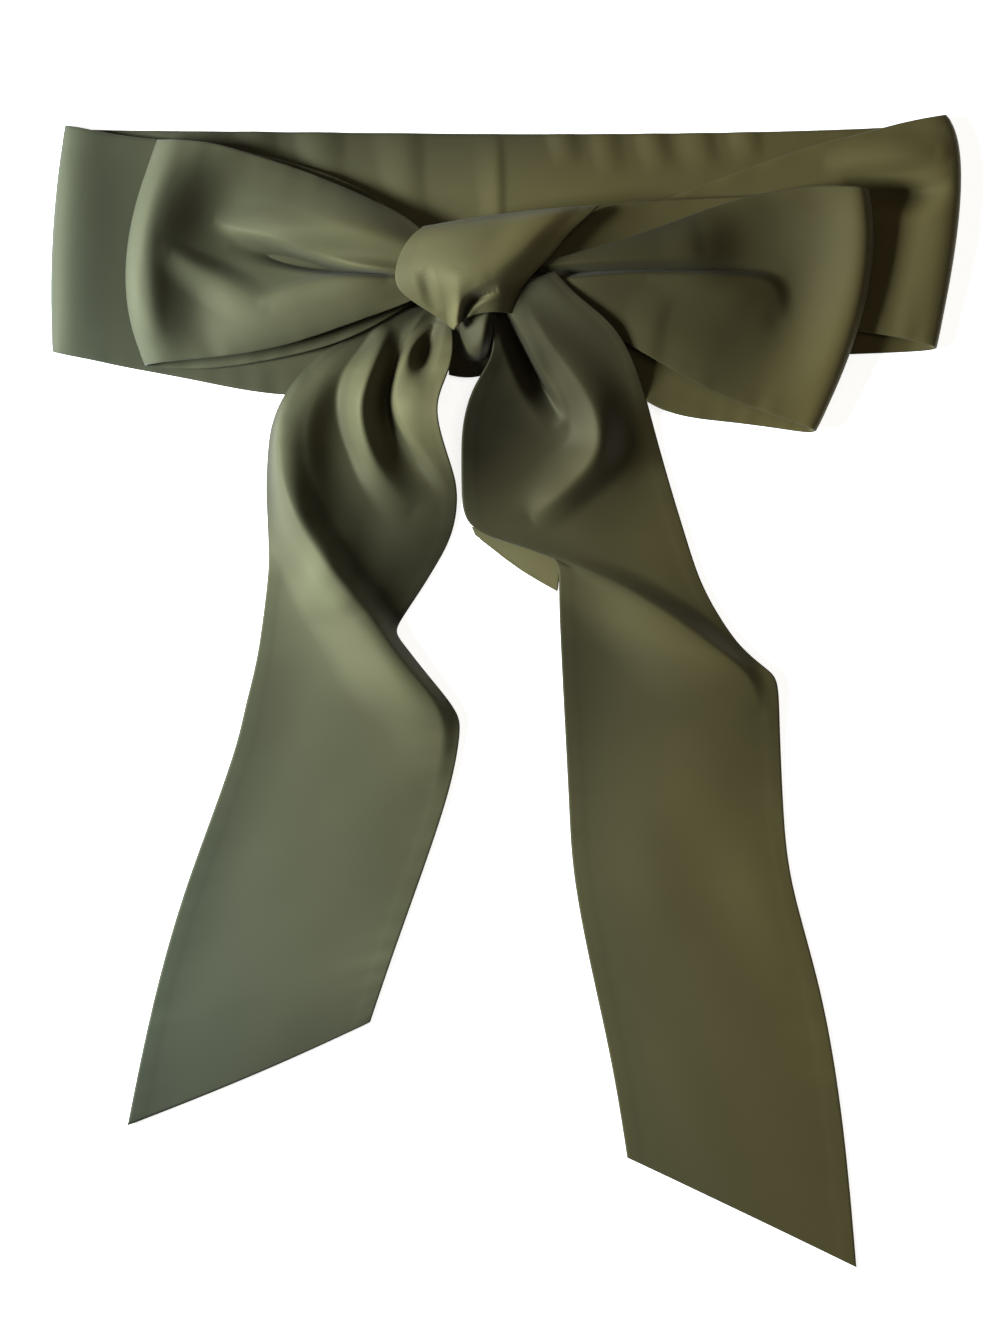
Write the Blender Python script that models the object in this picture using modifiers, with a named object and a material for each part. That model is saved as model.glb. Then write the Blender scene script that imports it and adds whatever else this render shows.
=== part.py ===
"""A bridal sash of satin ribbon, tied in a bow and laid flat on a table.

The waist loop is pressed flat: a back layer on the table and a front layer in two stretches,
which turn over a fold at each side. The bow lies on the front layer. It has a loop and a tail
on each side, a knot wrapped over the middle, and the stub of a pleat under the knot.

Each stretch of ribbon that shows is one solid. Its middle surface is lofted through a short
table of sections laid across the ribbon, and its pleats are raised along the lines of their
crests. Every table is in millimetres: +X to the right, +Y to the top of the bow, +Z up.
"""

from collections import namedtuple

import bmesh
import bpy
import numpy as np
from mathutils import Matrix, Vector

MM = 0.001

SATIN = 1.2              # wall of the doubled satin ribbon
TABLE = SATIN / 2        # height of the middle surface where the ribbon lies on the table
RIBBON_WIDTH = 101.0     # a 4 inch ribbon
SEAM = 1.0               # the flat back layer stops this far short of the stretches with the folds
LOOP_FRONT = 0.5         # a bow loop's front, with its pleats, is this last share of its length
ONSET = 0.08             # the pleats set in over this share of the length before that

# A section crosses the ribbon: one edge, a point on the middle and the other edge.
Section = namedtuple("Section", "edge middle other")

# A pleat is a row of stations along its crest. At each the cloth rises, or sinks, over a width
# on either side, looking along the crest, and the crest leans over to its right.
Station = namedtuple("Station", "x y rise left right lean")

COLOURS = {
    "satin_olive": (0.095, 0.093, 0.048),
    "satin_olive_light": (0.125, 0.123, 0.070),
    "satin_olive_dark": (0.062, 0.060, 0.030),
}


# ---------------------------------------------------------------------------------------------
# Curves and pleats


def clear_scene():
    """Empty the file that the script runs in."""
    for thing in list(bpy.data.objects):
        bpy.data.objects.remove(thing, do_unlink=True)
    for mesh in list(bpy.data.meshes):
        bpy.data.meshes.remove(mesh)


def extended(stations):
    """The stations with one more at each end, mirrored through the last, so that the curve ends there."""
    return np.concatenate([[2 * stations[0] - stations[1]], stations, [2 * stations[-1] - stations[-2]]])


def smooth_through(stations, place):
    """Points of a cubic B-spline that runs close to the stations, at places from 0 to 1 along it."""
    stations = np.asarray(stations, dtype=float)
    padded = extended(stations)
    averaged = (padded[:-2] + 4 * padded[1:-1] + padded[2:]) / 6
    cage = extended(stations + (stations - averaged))
    last_span = len(stations) - 2
    position = np.asarray(place) * (len(stations) - 1)
    span = np.clip(position.astype(int), 0, last_span)
    f = (position - span).reshape((-1,) + (1,) * (stations.ndim - 1))
    weights = (
        (1 - f) ** 3 / 6,
        (3 * f**3 - 6 * f**2 + 4) / 6,
        (-3 * f**3 + 3 * f**2 + 3 * f + 1) / 6,
        f**3 / 6,
    )
    return sum(weight * cage[span + step] for step, weight in enumerate(weights))


def lofted(sections, across, along):
    """Middle surface of a ribbon: each section is a parabola through its three points."""
    edge, middle, other = np.moveaxis(smooth_through(sections, along), 1, 0)
    u = across[:, None]
    return edge * (1 - u) * (1 - 2 * u) + middle * 4 * u * (1 - u) + other * u * (2 * u - 1)


def nearest_on(crest, points):
    """For each point the nearest place on the crest: its values there, how far, and on which side.

    The side runs from 1 square to the left of the crest to -1 square to its right."""
    distance = np.full(len(points), np.inf)
    values = np.zeros((len(points), crest.shape[1]))
    side = np.zeros(len(points))
    rightward = np.zeros((len(points), 2))
    for start, end in zip(crest[:-1], crest[1:]):
        run = end[:2] - start[:2]
        length = np.linalg.norm(run)
        to_point = points - start[:2]
        share = np.clip(to_point @ run / length**2, 0, 1)[:, None]
        offset = to_point - share * run
        away = np.linalg.norm(offset, axis=1)
        closer = away < distance
        leftward = (run[0] * offset[:, 1] - run[1] * offset[:, 0]) / length
        distance[closer] = away[closer]
        values[closer] = (start + share * (end - start))[closer]
        side[closer] = (leftward / np.maximum(away, 1e-9))[closer]
        rightward[closer] = np.array([run[1], -run[0]]) / length
    return values, distance, side, rightward


def pleated(points, pleats, weight):
    """Raise the pleats on a surface: each falls off smoothly over its width on either side."""
    plan = points[:, :2].copy()
    for stations in pleats:
        crest = smooth_through(stations, np.linspace(0, 1, 6 * len(stations)))
        values, distance, side, rightward = nearest_on(crest, plan)
        rise, left, right, lean = values[:, 2:].T
        width = right + (left - right) * (1 + side) / 2
        falloff = np.clip(1 - (distance / width) ** 2, 0, 1) ** 2 * weight
        points[:, 2] += rise * falloff
        points[:, :2] += rightward * (lean * falloff)[:, None]
    return points


# ---------------------------------------------------------------------------------------------
# Solids


def material(name):
    """The satin's plain colour, one material for each shade."""
    found = bpy.data.materials.get(name)
    if found:
        return found
    satin = bpy.data.materials.new(name)
    satin.use_nodes = True
    shader = satin.node_tree.nodes["Principled BSDF"]
    shader.inputs["Base Color"].default_value = (*COLOURS[name], 1.0)
    shader.inputs["Roughness"].default_value = 0.42
    shader.inputs["Metallic"].default_value = 0.0
    satin.diffuse_color = (*COLOURS[name], 1.0)
    return satin


def add_object(name, mesh, shade, collection):
    """Put a mesh in the sash's collection as one named piece."""
    piece = bpy.data.objects.new(name, mesh)
    piece.data.materials.append(material(shade))
    collection.objects.link(piece)
    return piece


def add_ribbon(name, sections, pleats, cells, shade, collection, pleated_from=0.0):
    """One stretch of ribbon: a grid laid on its middle surface and given the satin's wall."""
    across_cells, along_cells = cells
    grid = bmesh.new()
    bmesh.ops.create_grid(grid, x_segments=across_cells, y_segments=along_cells, size=1.0)
    corners = np.array([vertex.co[:2] for vertex in grid.verts])
    across, along = (corners.T + 1) / 2
    points = lofted(sections, across, along)
    points = pleated(points, pleats, np.clip((along - pleated_from) / ONSET + 1, 0, 1))
    points[:, 2] = np.maximum(points[:, 2], TABLE)
    for vertex, point in zip(grid.verts, points * MM):
        vertex.co = Vector(point)
    mesh = bpy.data.meshes.new(name)
    grid.to_mesh(mesh)
    grid.free()
    mesh.shade_smooth()
    piece = add_object(name, mesh, shade, collection)
    wall = piece.modifiers.new("satin wall", "SOLIDIFY")
    wall.thickness = SATIN * MM
    wall.offset = 0.0
    return piece


# ---------------------------------------------------------------------------------------------
# The waist loop

def flat_section(x_top, x_bottom, top):
    """A section of the layer on the table, straight from its upper edge to its lower edge."""
    x_middle = (x_top + x_bottom) / 2
    return Section((x_top, top, TABLE), (x_middle, top - RIBBON_WIDTH / 2, TABLE),
                   (x_bottom, top - RIBBON_WIDTH, TABLE))


# Under the two folds the front stretches meet the back layer, out of sight.
LEFT_SEAM = flat_section(-190, -184, 253.6)
RIGHT_SEAM = flat_section(177, 149, 254.8)

WAIST_BACK = (
    flat_section(-190 + SEAM, -184 + SEAM, 253.6),
    flat_section(-100, -98, 252.4),
    flat_section(0, -10, 251.4),
    flat_section(95, 75, 252.0),
    flat_section(177 - SEAM, 149 - SEAM, 254.8),
)

# From the seam out under the left fold, round it, and across the front into the knot.
WAIST_LEFT_SECTIONS = (
    LEFT_SEAM,
    Section((-195, 254.6, 0.8), (-197, 204, 0.7), (-197, 153.6, 0.7)),
    Section((-198, 255.6, 2.8), (-203, 205, 2.8), (-204.4, 154.6, 2.6)),
    Section((-193, 254.6, 5.0), (-196, 203, 4.8), (-197.5, 152.5, 4.6)),
    Section((-174, 251.2, 4.2), (-176, 200, 4.0), (-178, 149.5, 3.6)),
    Section((-140, 247.0, 3.4), (-140, 195, 3.0), (-140, 143.0, 3.0)),
    Section((-100, 235.0, 3.0), (-100, 186, 3.0), (-100, 136.0, 3.0)),
    Section((-66, 221.0, 3.0), (-66, 183, 3.0), (-62, 142.0, 3.0)),
    Section((-38, 204.0, 3.6), (-38, 188, 4.0), (-38, 170.0, 3.6)),
)

# The same on the right, where the fold stands a little higher.
WAIST_RIGHT_SECTIONS = (
    RIGHT_SEAM,
    Section((188, 257.0, 0.8), (192, 218, 0.8), (180, 155.4, 0.7)),
    Section((196.4, 258.8, 3.2), (204.2, 224, 3.8), (192.8, 157.4, 2.8)),
    Section((190, 257.8, 5.8), (197, 220, 6.4), (187, 158.4, 4.8)),
    Section((163, 252.5, 4.6), (165, 208, 4.4), (159, 162.9, 3.6)),
    Section((131, 244.8, 3.4), (131, 206, 3.2), (126, 168.0, 3.0)),
    Section((86, 228.2, 3.0), (86, 200, 3.0), (82, 172.0, 3.0)),
    Section((48, 214.0, 3.2), (47, 196, 3.2), (46, 178.0, 3.2)),
    Section((16, 204.0, 3.6), (16, 193, 3.6), (16, 182.0, 3.6)),
)

WAIST_RIGHT_PLEATS = (
    # the bulge below the top of the right fold
    (
        Station(150, 240, 0, 10, 8, 0),
        Station(166, 242, 3, 11, 9, 0),
        Station(184, 244, 3.5, 12, 9, 0),
        Station(196, 246, 1, 10, 8, 0),
    ),
    # the dent under it, where the loop's tip presses
    (
        Station(152, 229, 0, 6, 9, 0),
        Station(164, 226, -2, 7, 12, 0),
        Station(178, 226, -2, 7, 12, 0),
        Station(192, 231, 0, 6, 8, 0),
    ),
)


def add_waist(collection):
    """The flat back layer on the table, and the front layer in two stretches with its folds."""
    add_ribbon("waist_back", WAIST_BACK, (), (4, 12), "satin_olive_dark", collection)
    add_ribbon("waist_left", WAIST_LEFT_SECTIONS, (), (6, 22), "satin_olive", collection)
    add_ribbon("waist_right", WAIST_RIGHT_SECTIONS, WAIST_RIGHT_PLEATS, (8, 20), "satin_olive", collection)


# ---------------------------------------------------------------------------------------------
# The bow's two loops

# From the knot along the layer behind, round the tip and back along the front.
LEFT_LOOP_SECTIONS = (
    Section((-39, 203.0, 9.8), (-39, 190, 9.8), (-39, 178.0, 10.0)),
    Section((-62, 225.0, 7.5), (-64, 192, 8.0), (-68, 161.0, 9.6)),
    Section((-95, 238.0, 6.0), (-98, 194, 5.8), (-98, 152.0, 7.0)),
    Section((-128, 245.5, 5.2), (-136, 196, 5.0), (-134, 146.0, 5.2)),
    Section((-152, 248.8, 5.8), (-162, 196, 5.6), (-157, 147.0, 5.6)),
    Section((-158, 248.6, 8.5), (-171, 195, 11.5), (-163.2, 147.4, 8.0)),
    Section((-152, 248.2, 12.0), (-163, 195, 18.0), (-158, 148.2, 11.5)),
    Section((-136, 247.6, 13.5), (-147, 195, 14.5), (-140, 149.6, 13.0)),
    Section((-104, 238.8, 13.5), (-108, 196, 14.6), (-106, 155.0, 13.8)),
    Section((-72, 227.0, 14.0), (-74, 196, 15.4), (-74, 164.6, 14.6)),
    Section((-50, 216.0, 15.5), (-50, 194, 16.5), (-50, 173.0, 15.5)),
    Section((-38, 206.0, 17.5), (-38, 192, 17.5), (-38, 179.0, 17.5)),
)

# The crests on the left loop run from its tip to the knot.
LEFT_LOOP_PLEATS = (
    # the hollow behind the tip
    (
        Station(-150, 240, -1, 16, 9, 0),
        Station(-146, 222, -5, 24, 11, 0),
        Station(-145, 204, -6, 22, 12, 0),
        Station(-148, 186, -4, 15, 11, 0),
        Station(-149, 170, -4, 13, 10, 0),
        Station(-152, 156, -1, 10, 8, 0),
    ),
    # the upper lobe, which hangs over the crease below it
    (
        Station(-134, 215, 0, 12, 10, 0),
        Station(-120, 211, 4, 18, 9, 1),
        Station(-104, 205, 6, 22, 8, 3),
        Station(-84, 198, 6.5, 24, 7, 3),
        Station(-62, 194, 5, 18, 6, 2),
        Station(-42, 191, 2, 12, 6, 0),
    ),
    # the crease between the lobes
    (
        Station(-124, 200, 0, 8, 9, 0),
        Station(-106, 195, -4, 7, 10, 0),
        Station(-88, 189, -5, 6, 8, 0),
        Station(-68, 187, -4, 5, 6, 0),
        Station(-46, 186, -2, 5, 5, 0),
    ),
    # the lower lobe
    (
        Station(-140, 183, 0, 9, 12, 0),
        Station(-120, 178, 3, 10, 16, 0),
        Station(-96, 177, 4, 9, 18, 0),
        Station(-70, 179, 4, 7, 14, 0),
        Station(-46, 181, 2, 6, 9, 0),
    ),
)

RIGHT_LOOP_SECTIONS = (
    Section((17, 203.0, 6.2), (17, 192, 6.2), (17, 181.0, 6.2)),
    Section((42, 218.4, 6.6), (40, 190, 6.4), (36, 161.0, 6.4)),
    Section((68, 221.2, 6.2), (68, 178, 5.6), (62, 131.0, 5.2)),
    Section((105, 223.4, 5.8), (106, 173, 5.2), (98, 124.8, 5.0)),
    Section((142, 224.8, 5.8), (144, 172, 5.4), (126, 119.8, 5.0)),
    Section((158, 225.0, 6.6), (159, 174, 7.2), (134.5, 118.2, 6.4)),
    Section((162.2, 225.2, 10), (162, 176, 13.0), (138, 118.2, 9.6)),
    Section((156, 226.4, 13.6), (154, 176, 19.0), (133, 120.0, 12.8)),
    Section((138, 227.6, 13.8), (136, 176, 15.0), (121, 125.0, 12.6)),
    Section((106, 222.8, 13.6), (106, 178, 15.0), (94, 133.2, 12.6)),
    Section((76, 212.6, 13.8), (76, 181, 15.0), (70, 147.6, 12.8)),
    Section((48, 202.4, 13.4), (48, 184, 13.4), (46, 161.0, 12.8)),
    Section((17, 192.0, 13.0), (17, 185, 13.0), (17, 177.0, 13.0)),
)

# The crests on the right loop run from the knot to its tip.
RIGHT_LOOP_PLEATS = (
    # the upper lobe
    (
        Station(30, 194, 0, 8, 6, 0),
        Station(60, 199, 2.5, 12, 8, 0),
        Station(92, 202, 4, 15, 9, 0),
        Station(122, 204, 0, 14, 10, 0),
    ),
    # the long crease, which ends in a small pit
    (
        Station(24, 188, -1, 6, 6, 0),
        Station(56, 189.5, -4, 8, 7, 0),
        Station(92, 189.5, -5, 9, 7, 0),
        Station(116, 188, -5, 11, 9, 0),
        Station(126, 180, -4, 10, 12, 0),
        Station(127, 170, 0, 9, 9, 0),
    ),
    # the lower lobe
    (
        Station(30, 180, 1, 6, 8, 0),
        Station(60, 179, 3.5, 8, 16, 0),
        Station(92, 177, 3.5, 9, 22, 0),
        Station(116, 168, 0, 10, 20, 0),
    ),
)


def add_loops(collection):
    """The bow's loops: each goes out behind, turns at its tip and comes back to the knot."""
    add_ribbon("loop_left", LEFT_LOOP_SECTIONS, LEFT_LOOP_PLEATS, (12, 30), "satin_olive_light",
               collection, LOOP_FRONT)
    add_ribbon("loop_right", RIGHT_LOOP_SECTIONS, RIGHT_LOOP_PLEATS, (12, 30), "satin_olive",
               collection, LOOP_FRONT)


# ---------------------------------------------------------------------------------------------
# The two tails

# From under the knot down to the slanted end.
LEFT_TAIL_SECTIONS = (
    Section((-44, 173.0, 6.6), (-34, 174, 7.4), (-26, 171.0, 7.6)),
    Section((-76, 158.0, 5.4), (-50, 159, 6.8), (-24.6, 158.0, 8.4)),
    Section((-93, 144.0, 5.6), (-60, 144, 8.0), (-26, 145.0, 9.0)),
    Section((-102.5, 128.0, 5.0), (-66, 127, 8.0), (-31.8, 130.0, 8.0)),
    Section((-107.4, 106.0, 2.6), (-68, 105, 7.4), (-28.6, 110.0, 6.4)),
    Section((-108, 84.0, 1.0), (-66, 82, 6.4), (-24, 86.0, 4.0)),
    Section((-107, 60.0, 0.6), (-66, 57, 5.0), (-31, 61.0, 1.6)),
    Section((-109.4, 33.0, 0.6), (-76, 29, 4.6), (-50, 28.0, 1.2)),
    Section((-112.5, 6.0, 0.6), (-72, 6, 3.4), (-37, 9.0, 0.8)),
    Section((-118.4, -20.0, 0.6), (-72, -17, 2.2), (-22.4, -14.0, 0.8)),
    Section((-130, -56.0, 0.6), (-80, -50, 1.4), (-27, -44.0, 0.6)),
    Section((-142, -94.0, 0.6), (-93, -87, 0.8), (-40, -83.0, 0.6)),
    Section((-156, -142.0, 0.6), (-108, -128, 0.8), (-52, -118.0, 0.6)),
    Section((-170.5, -194.0, 0.6), (-116, -172, 0.8), (-62, -147.6, 0.6)),
)

# The crests on the tails run down from the knot.
LEFT_TAIL_PLEATS = (
    # the left edge rolls up and becomes the ridge that crosses to the right edge
    (
        Station(-94, 148, 0, 8, 7, 0),
        Station(-100, 130, 3, 10, 7, 0),
        Station(-103, 110, 5.5, 12, 7, 0),
        Station(-101, 90, 7.5, 14, 10, 0),
        Station(-94, 70, 9, 14, 17, 0),
        Station(-81, 50, 9.5, 14, 28, 0),
        Station(-65, 33, 9, 13, 38, 0),
        Station(-49, 18, 7.5, 10, 44, 0),
        Station(-34, 1, 5, 8, 44, 0),
        Station(-27, -22, 2, 7, 34, 0),
        Station(-32, -44, 0, 7, 24, 0),
    ),
    # the flank between that edge and the first pleat
    (
        Station(-86, 148, 0, 8, 8, 0),
        Station(-88, 128, -2.5, 10, 9, 0),
        Station(-87, 104, -3.5, 11, 10, 0),
        Station(-82, 82, -3.5, 13, 11, 0),
        Station(-71, 63, -3, 14, 11, 0),
        Station(-60, 48, -2.5, 12, 10, 0),
        Station(-53, 34, 0, 8, 6, 0),
    ),
    # the first pleat from the knot
    (
        Station(-66, 156, 0, 10, 9, 0),
        Station(-72, 142, 6, 10, 13, 0),
        Station(-70, 124, 7.5, 11, 15, 0),
        Station(-63, 106, 6, 12, 14, 0),
        Station(-53, 90, 0, 12, 12, 0),
    ),
    # the valley between the pleats
    (
        Station(-50, 160, 0, 6, 6, 0),
        Station(-58, 142, -3.5, 7, 8, 0),
        Station(-59, 126, -5, 8, 8, 0),
        Station(-49, 110, -4.5, 9, 9, 0),
        Station(-38, 98, -3, 8, 8, 0),
        Station(-30, 88, 0, 8, 8, 0),
    ),
    # the second pleat, which hangs over the valley
    (
        Station(-33, 162, 1, 8, 6, 0),
        Station(-43, 151, 5, 13, 7, 1),
        Station(-48, 136, 7.5, 16, 7, 2),
        Station(-46, 124, 7, 15, 7, 2),
        Station(-38, 112, 4.5, 11, 7, 1),
        Station(-28, 100, 0, 8, 7, 0),
    ),
)

RIGHT_TAIL_SECTIONS = (
    Section((-5, 179.0, 17.0), (4, 182, 17.6), (13, 186.0, 17.0)),
    Section((-6.6, 166.0, 14.6), (13, 172, 18.6), (27, 180.0, 17.0)),
    Section((-7, 151.0, 11.0), (24, 156, 18.0), (44, 164.0, 17.0)),
    Section((-13, 138.0, 8.6), (26, 138, 16.0), (58, 141.0, 14.0)),
    Section((-18.8, 119.0, 6.6), (25, 118, 13.0), (64, 122.0, 9.6)),
    Section((-20.4, 97.0, 4.6), (25, 96, 10.4), (70, 98.0, 4.6)),
    Section((-17, 79.0, 3.4), (30, 75, 8.4), (77, 74.0, 2.0)),
    Section((-1, 63.6, 3.0), (45, 55, 6.8), (87, 47.0, 1.6)),
    Section((21, 49.6, 2.0), (62, 36, 5.6), (103, 22.4, 2.2)),
    Section((24, 22.0, 0.6), (72, 14, 4.6), (119, 6.4, 2.2)),
    Section((26.6, -8.0, 0.6), (74, -10, 3.0), (121.2, -16.0, 0.8)),
    Section((30, -48.0, 0.6), (76, -50, 1.4), (121.6, -54.0, 0.6)),
    Section((33, -80.0, 0.6), (80, -84, 1.0), (125, -88.0, 0.6)),
    Section((41, -120.0, 0.6), (89, -130, 0.8), (139, -136.0, 0.6)),
    Section((48, -166.0, 0.6), (98, -184, 0.8), (148, -196.0, 0.6)),
    Section((54, -208.6, 0.6), (105, -233, 0.8), (156, -258.0, 0.6)),
)

RIGHT_TAIL_PLEATS = (
    # the deep crease below the knot
    (
        Station(-1, 172, -1, 6, 6, 0),
        Station(4, 158, -5, 8, 8, 0),
        Station(12, 140, -6, 9, 10, 0),
        Station(20, 124, 0, 9, 9, 0),
    ),
    # the ridge beside it, which hooks round below
    (
        Station(12, 180, 0, 10, 8, 0),
        Station(22, 160, 4, 15, 9, 0),
        Station(33, 140, 7, 16, 11, 0),
        Station(40, 122, 8, 15, 15, 0),
        Station(39, 106, 7, 13, 18, 0),
        Station(30, 94, 4, 13, 18, 0),
        Station(18, 86, 0, 12, 14, 0),
    ),
    # the hollow outside the hook
    (
        Station(53, 128, 0, 8, 8, 0),
        Station(51, 110, -3, 11, 9, 0),
        Station(41, 93, -4, 12, 9, 0),
        Station(24, 81, 0, 9, 9, 0),
    ),
    # the soft fold that crosses from the left edge to the right corner
    (
        Station(8, 58, 0, 6, 12, 0),
        Station(28, 52, 3, 8, 22, -1),
        Station(50, 42, 6, 10, 32, -1),
        Station(74, 27, 7, 11, 38, -1),
        Station(96, 12, 5.5, 10, 36, 0),
        Station(112, 2, 3, 8, 30, 0),
        Station(118, -14, 0, 7, 24, 0),
    ),
)


def add_tails(collection):
    """The bow's tails: gathered at the knot, with one soft twist each, and cut on a slant."""
    add_ribbon("tail_left", LEFT_TAIL_SECTIONS, LEFT_TAIL_PLEATS, (14, 36), "satin_olive_light", collection)
    add_ribbon("tail_right", RIGHT_TAIL_SECTIONS, RIGHT_TAIL_PLEATS, (13, 36), "satin_olive", collection)


# ---------------------------------------------------------------------------------------------
# The knot

# The wrap comes over the knot from behind, widest at its upper edge, and gathers to a point.
KNOT_SECTIONS = (
    Section((-42, 203.0, 20.5), (-6, 208, 20.5), (34, 214.0, 16.5)),
    Section((-45, 203.6, 22.5), (-6, 214.4, 26.0), (40, 218.0, 19.0)),
    Section((-49, 196.0, 23.5), (-9, 206, 33.0), (31, 210.0, 23.5)),
    Section((-50, 188.0, 22.5), (-13, 193, 34.5), (20, 197.0, 24.0)),
    Section((-47, 179.0, 21.5), (-19, 181, 33.0), (9, 184.0, 24.0)),
    Section((-39, 173.0, 19.5), (-22, 171, 28.0), (-5, 177.0, 22.5)),
    Section((-29, 166.0, 16.5), (-24, 163, 20.0), (-18, 168.0, 17.5)),
)

KNOT_PLEATS = (
    # the ridge that runs down to the gathered point, and the hollow to its left
    (
        Station(-22, 204, 0, 8, 8, 0),
        Station(-26, 190, 2.5, 9, 8, 0),
        Station(-25, 172, 2.5, 7, 7, 0),
    ),
    (
        Station(-38, 192, 0, 6, 6, 0),
        Station(-36, 182, -2, 6, 6, 0),
        Station(-31, 172, -2, 5, 5, 0),
    ),
)

# A pleat of the wrap's end, tucked down below the knot between the tails.
STUB_SECTIONS = (
    Section((-20, 169.0, 12.0), (-16, 169, 14.0), (-10, 170.0, 12.0)),
    Section((-21, 160.0, 11.0), (-15.5, 160, 15.5), (-9, 161.0, 10.0)),
    Section((-21, 151.0, 8.0), (-15, 151, 12.0), (-8.6, 152.0, 7.0)),
    Section((-20, 144.0, 6.0), (-15, 143, 7.0), (-10, 144.0, 6.0)),
)

CORE_CENTRE = (-14, 191, 14.5)
CORE_SIZE = (38, 22, 18)


def add_knot(collection):
    """The wrap that shows, the stub below it, and the hidden layers of the knot as one core."""
    add_ribbon("knot_wrap", KNOT_SECTIONS, KNOT_PLEATS, (12, 12), "satin_olive_light", collection)
    add_ribbon("knot_stub", STUB_SECTIONS, (), (5, 6), "satin_olive_dark", collection)
    core = bmesh.new()
    bmesh.ops.create_uvsphere(core, u_segments=16, v_segments=8, radius=0.5)
    size = Matrix.Diagonal((*(Vector(CORE_SIZE) * MM), 1.0))
    bmesh.ops.transform(core, matrix=Matrix.Translation(Vector(CORE_CENTRE) * MM) @ size, verts=core.verts)
    mesh = bpy.data.meshes.new("knot_core")
    core.to_mesh(mesh)
    core.free()
    mesh.shade_smooth()
    add_object("knot_core", mesh, "satin_olive_dark", collection)


clear_scene()
sash = bpy.data.collections.new("bridal_sash")
bpy.context.scene.collection.children.link(sash)
add_waist(sash)
add_loops(sash)
add_tails(sash)
add_knot(sash)
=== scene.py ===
"""The look of a bridal sash: olive satin ribbon, tied in a bow and laid flat on a pale table."""

import math
from collections import namedtuple

import bmesh
import bpy
import numpy as np
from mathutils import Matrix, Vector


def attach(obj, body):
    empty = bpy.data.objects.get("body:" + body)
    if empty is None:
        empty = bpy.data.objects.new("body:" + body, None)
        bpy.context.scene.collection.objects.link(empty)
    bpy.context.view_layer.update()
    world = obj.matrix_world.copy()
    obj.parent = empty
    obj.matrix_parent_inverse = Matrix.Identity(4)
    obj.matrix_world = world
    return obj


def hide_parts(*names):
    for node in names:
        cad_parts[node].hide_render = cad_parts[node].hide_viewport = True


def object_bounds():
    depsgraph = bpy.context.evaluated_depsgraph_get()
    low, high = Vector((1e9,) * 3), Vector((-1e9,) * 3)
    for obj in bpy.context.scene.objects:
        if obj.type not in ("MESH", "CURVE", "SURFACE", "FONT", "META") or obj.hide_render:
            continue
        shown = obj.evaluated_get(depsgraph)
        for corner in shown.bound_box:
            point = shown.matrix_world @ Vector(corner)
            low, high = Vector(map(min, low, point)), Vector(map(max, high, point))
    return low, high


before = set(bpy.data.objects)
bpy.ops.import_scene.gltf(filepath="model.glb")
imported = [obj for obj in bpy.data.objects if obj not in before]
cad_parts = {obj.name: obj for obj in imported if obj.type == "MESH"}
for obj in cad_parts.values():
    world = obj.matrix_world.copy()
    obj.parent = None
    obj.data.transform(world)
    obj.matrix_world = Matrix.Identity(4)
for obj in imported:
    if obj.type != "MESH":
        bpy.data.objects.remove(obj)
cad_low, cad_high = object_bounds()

# ---------------------------------------------------------------------------------------------
# The table, the light and the camera. The sash lies on a plain pale table in a studio, with a
# window of cool light low at its left and a dim warm room around it, seen from straight above.

TABLE_SIZE = 4.0
TABLE_GAP = 0.0001         # below the sash, so that the two don't share a plane
TABLE_COLOUR = (0.93, 0.93, 0.92)
TABLE_ROUGHNESS = 0.7
TABLE_GLOW = 0.8           # light of its own, which keeps the table near white
MOTTLE_SCALE = 6.0
MOTTLE_DARKEST = 0.97
CAMERA_HEIGHT = 2.4
VIEW_HEIGHT = 0.600        # what the view takes in, from top to bottom
VIEW_CENTRE = (-0.0036, 0.0124)
SENSOR = 36.0              # mm
ROOM_COLOUR = (1.0, 0.96, 0.90)
ROOM_STRENGTH = 0.06

# name, place, width in metres, power in watts, colour
SOFTBOXES = (
    ("window_light", (-1.15, 0.06, 0.64), 0.42, 66.0, (0.85, 0.96, 1.0)),
    ("room_light", (0.35, 0.5, 1.9), 1.2, 6.0, (1.0, 0.90, 0.76)),
)


def table_paint(name):
    """A pale matt paint with a faint mottle, which glows a little."""
    made = bpy.data.materials.new(name)
    made.use_nodes = True
    nodes, links = made.node_tree.nodes, made.node_tree.links
    shader = nodes["Principled BSDF"]
    shader.inputs["Roughness"].default_value = TABLE_ROUGHNESS
    shader.inputs["Emission Color"].default_value = (1.0, 1.0, 1.0, 1)
    shader.inputs["Emission Strength"].default_value = TABLE_GLOW
    place = nodes.new("ShaderNodeTexCoord")
    mottle = nodes.new("ShaderNodeTexNoise")
    mottle.inputs["Scale"].default_value = MOTTLE_SCALE
    ramp = nodes.new("ShaderNodeValToRGB")
    ramp.color_ramp.elements[0].color = (*[MOTTLE_DARKEST * part for part in TABLE_COLOUR], 1)
    ramp.color_ramp.elements[1].color = (*TABLE_COLOUR, 1)
    links.new(place.outputs["Object"], mottle.inputs["Vector"])
    links.new(mottle.outputs["Fac"], ramp.inputs["Fac"])
    links.new(ramp.outputs["Color"], shader.inputs["Base Color"])
    return made


def add_softbox(name, place, size, power, colour):
    """A square area light at a place, turned toward the middle of the sash."""
    lamp = bpy.data.lights.new(name, "AREA")
    lamp.size = size
    lamp.energy = power
    lamp.color = colour
    box = bpy.data.objects.new(name, lamp)
    box.location = place
    side = math.atan2(-place[1], -place[0])
    down = math.atan2(math.hypot(place[0], place[1]), place[2])
    box.rotation_euler = (down, 0, side - math.pi / 2)
    bpy.context.scene.collection.objects.link(box)


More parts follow.
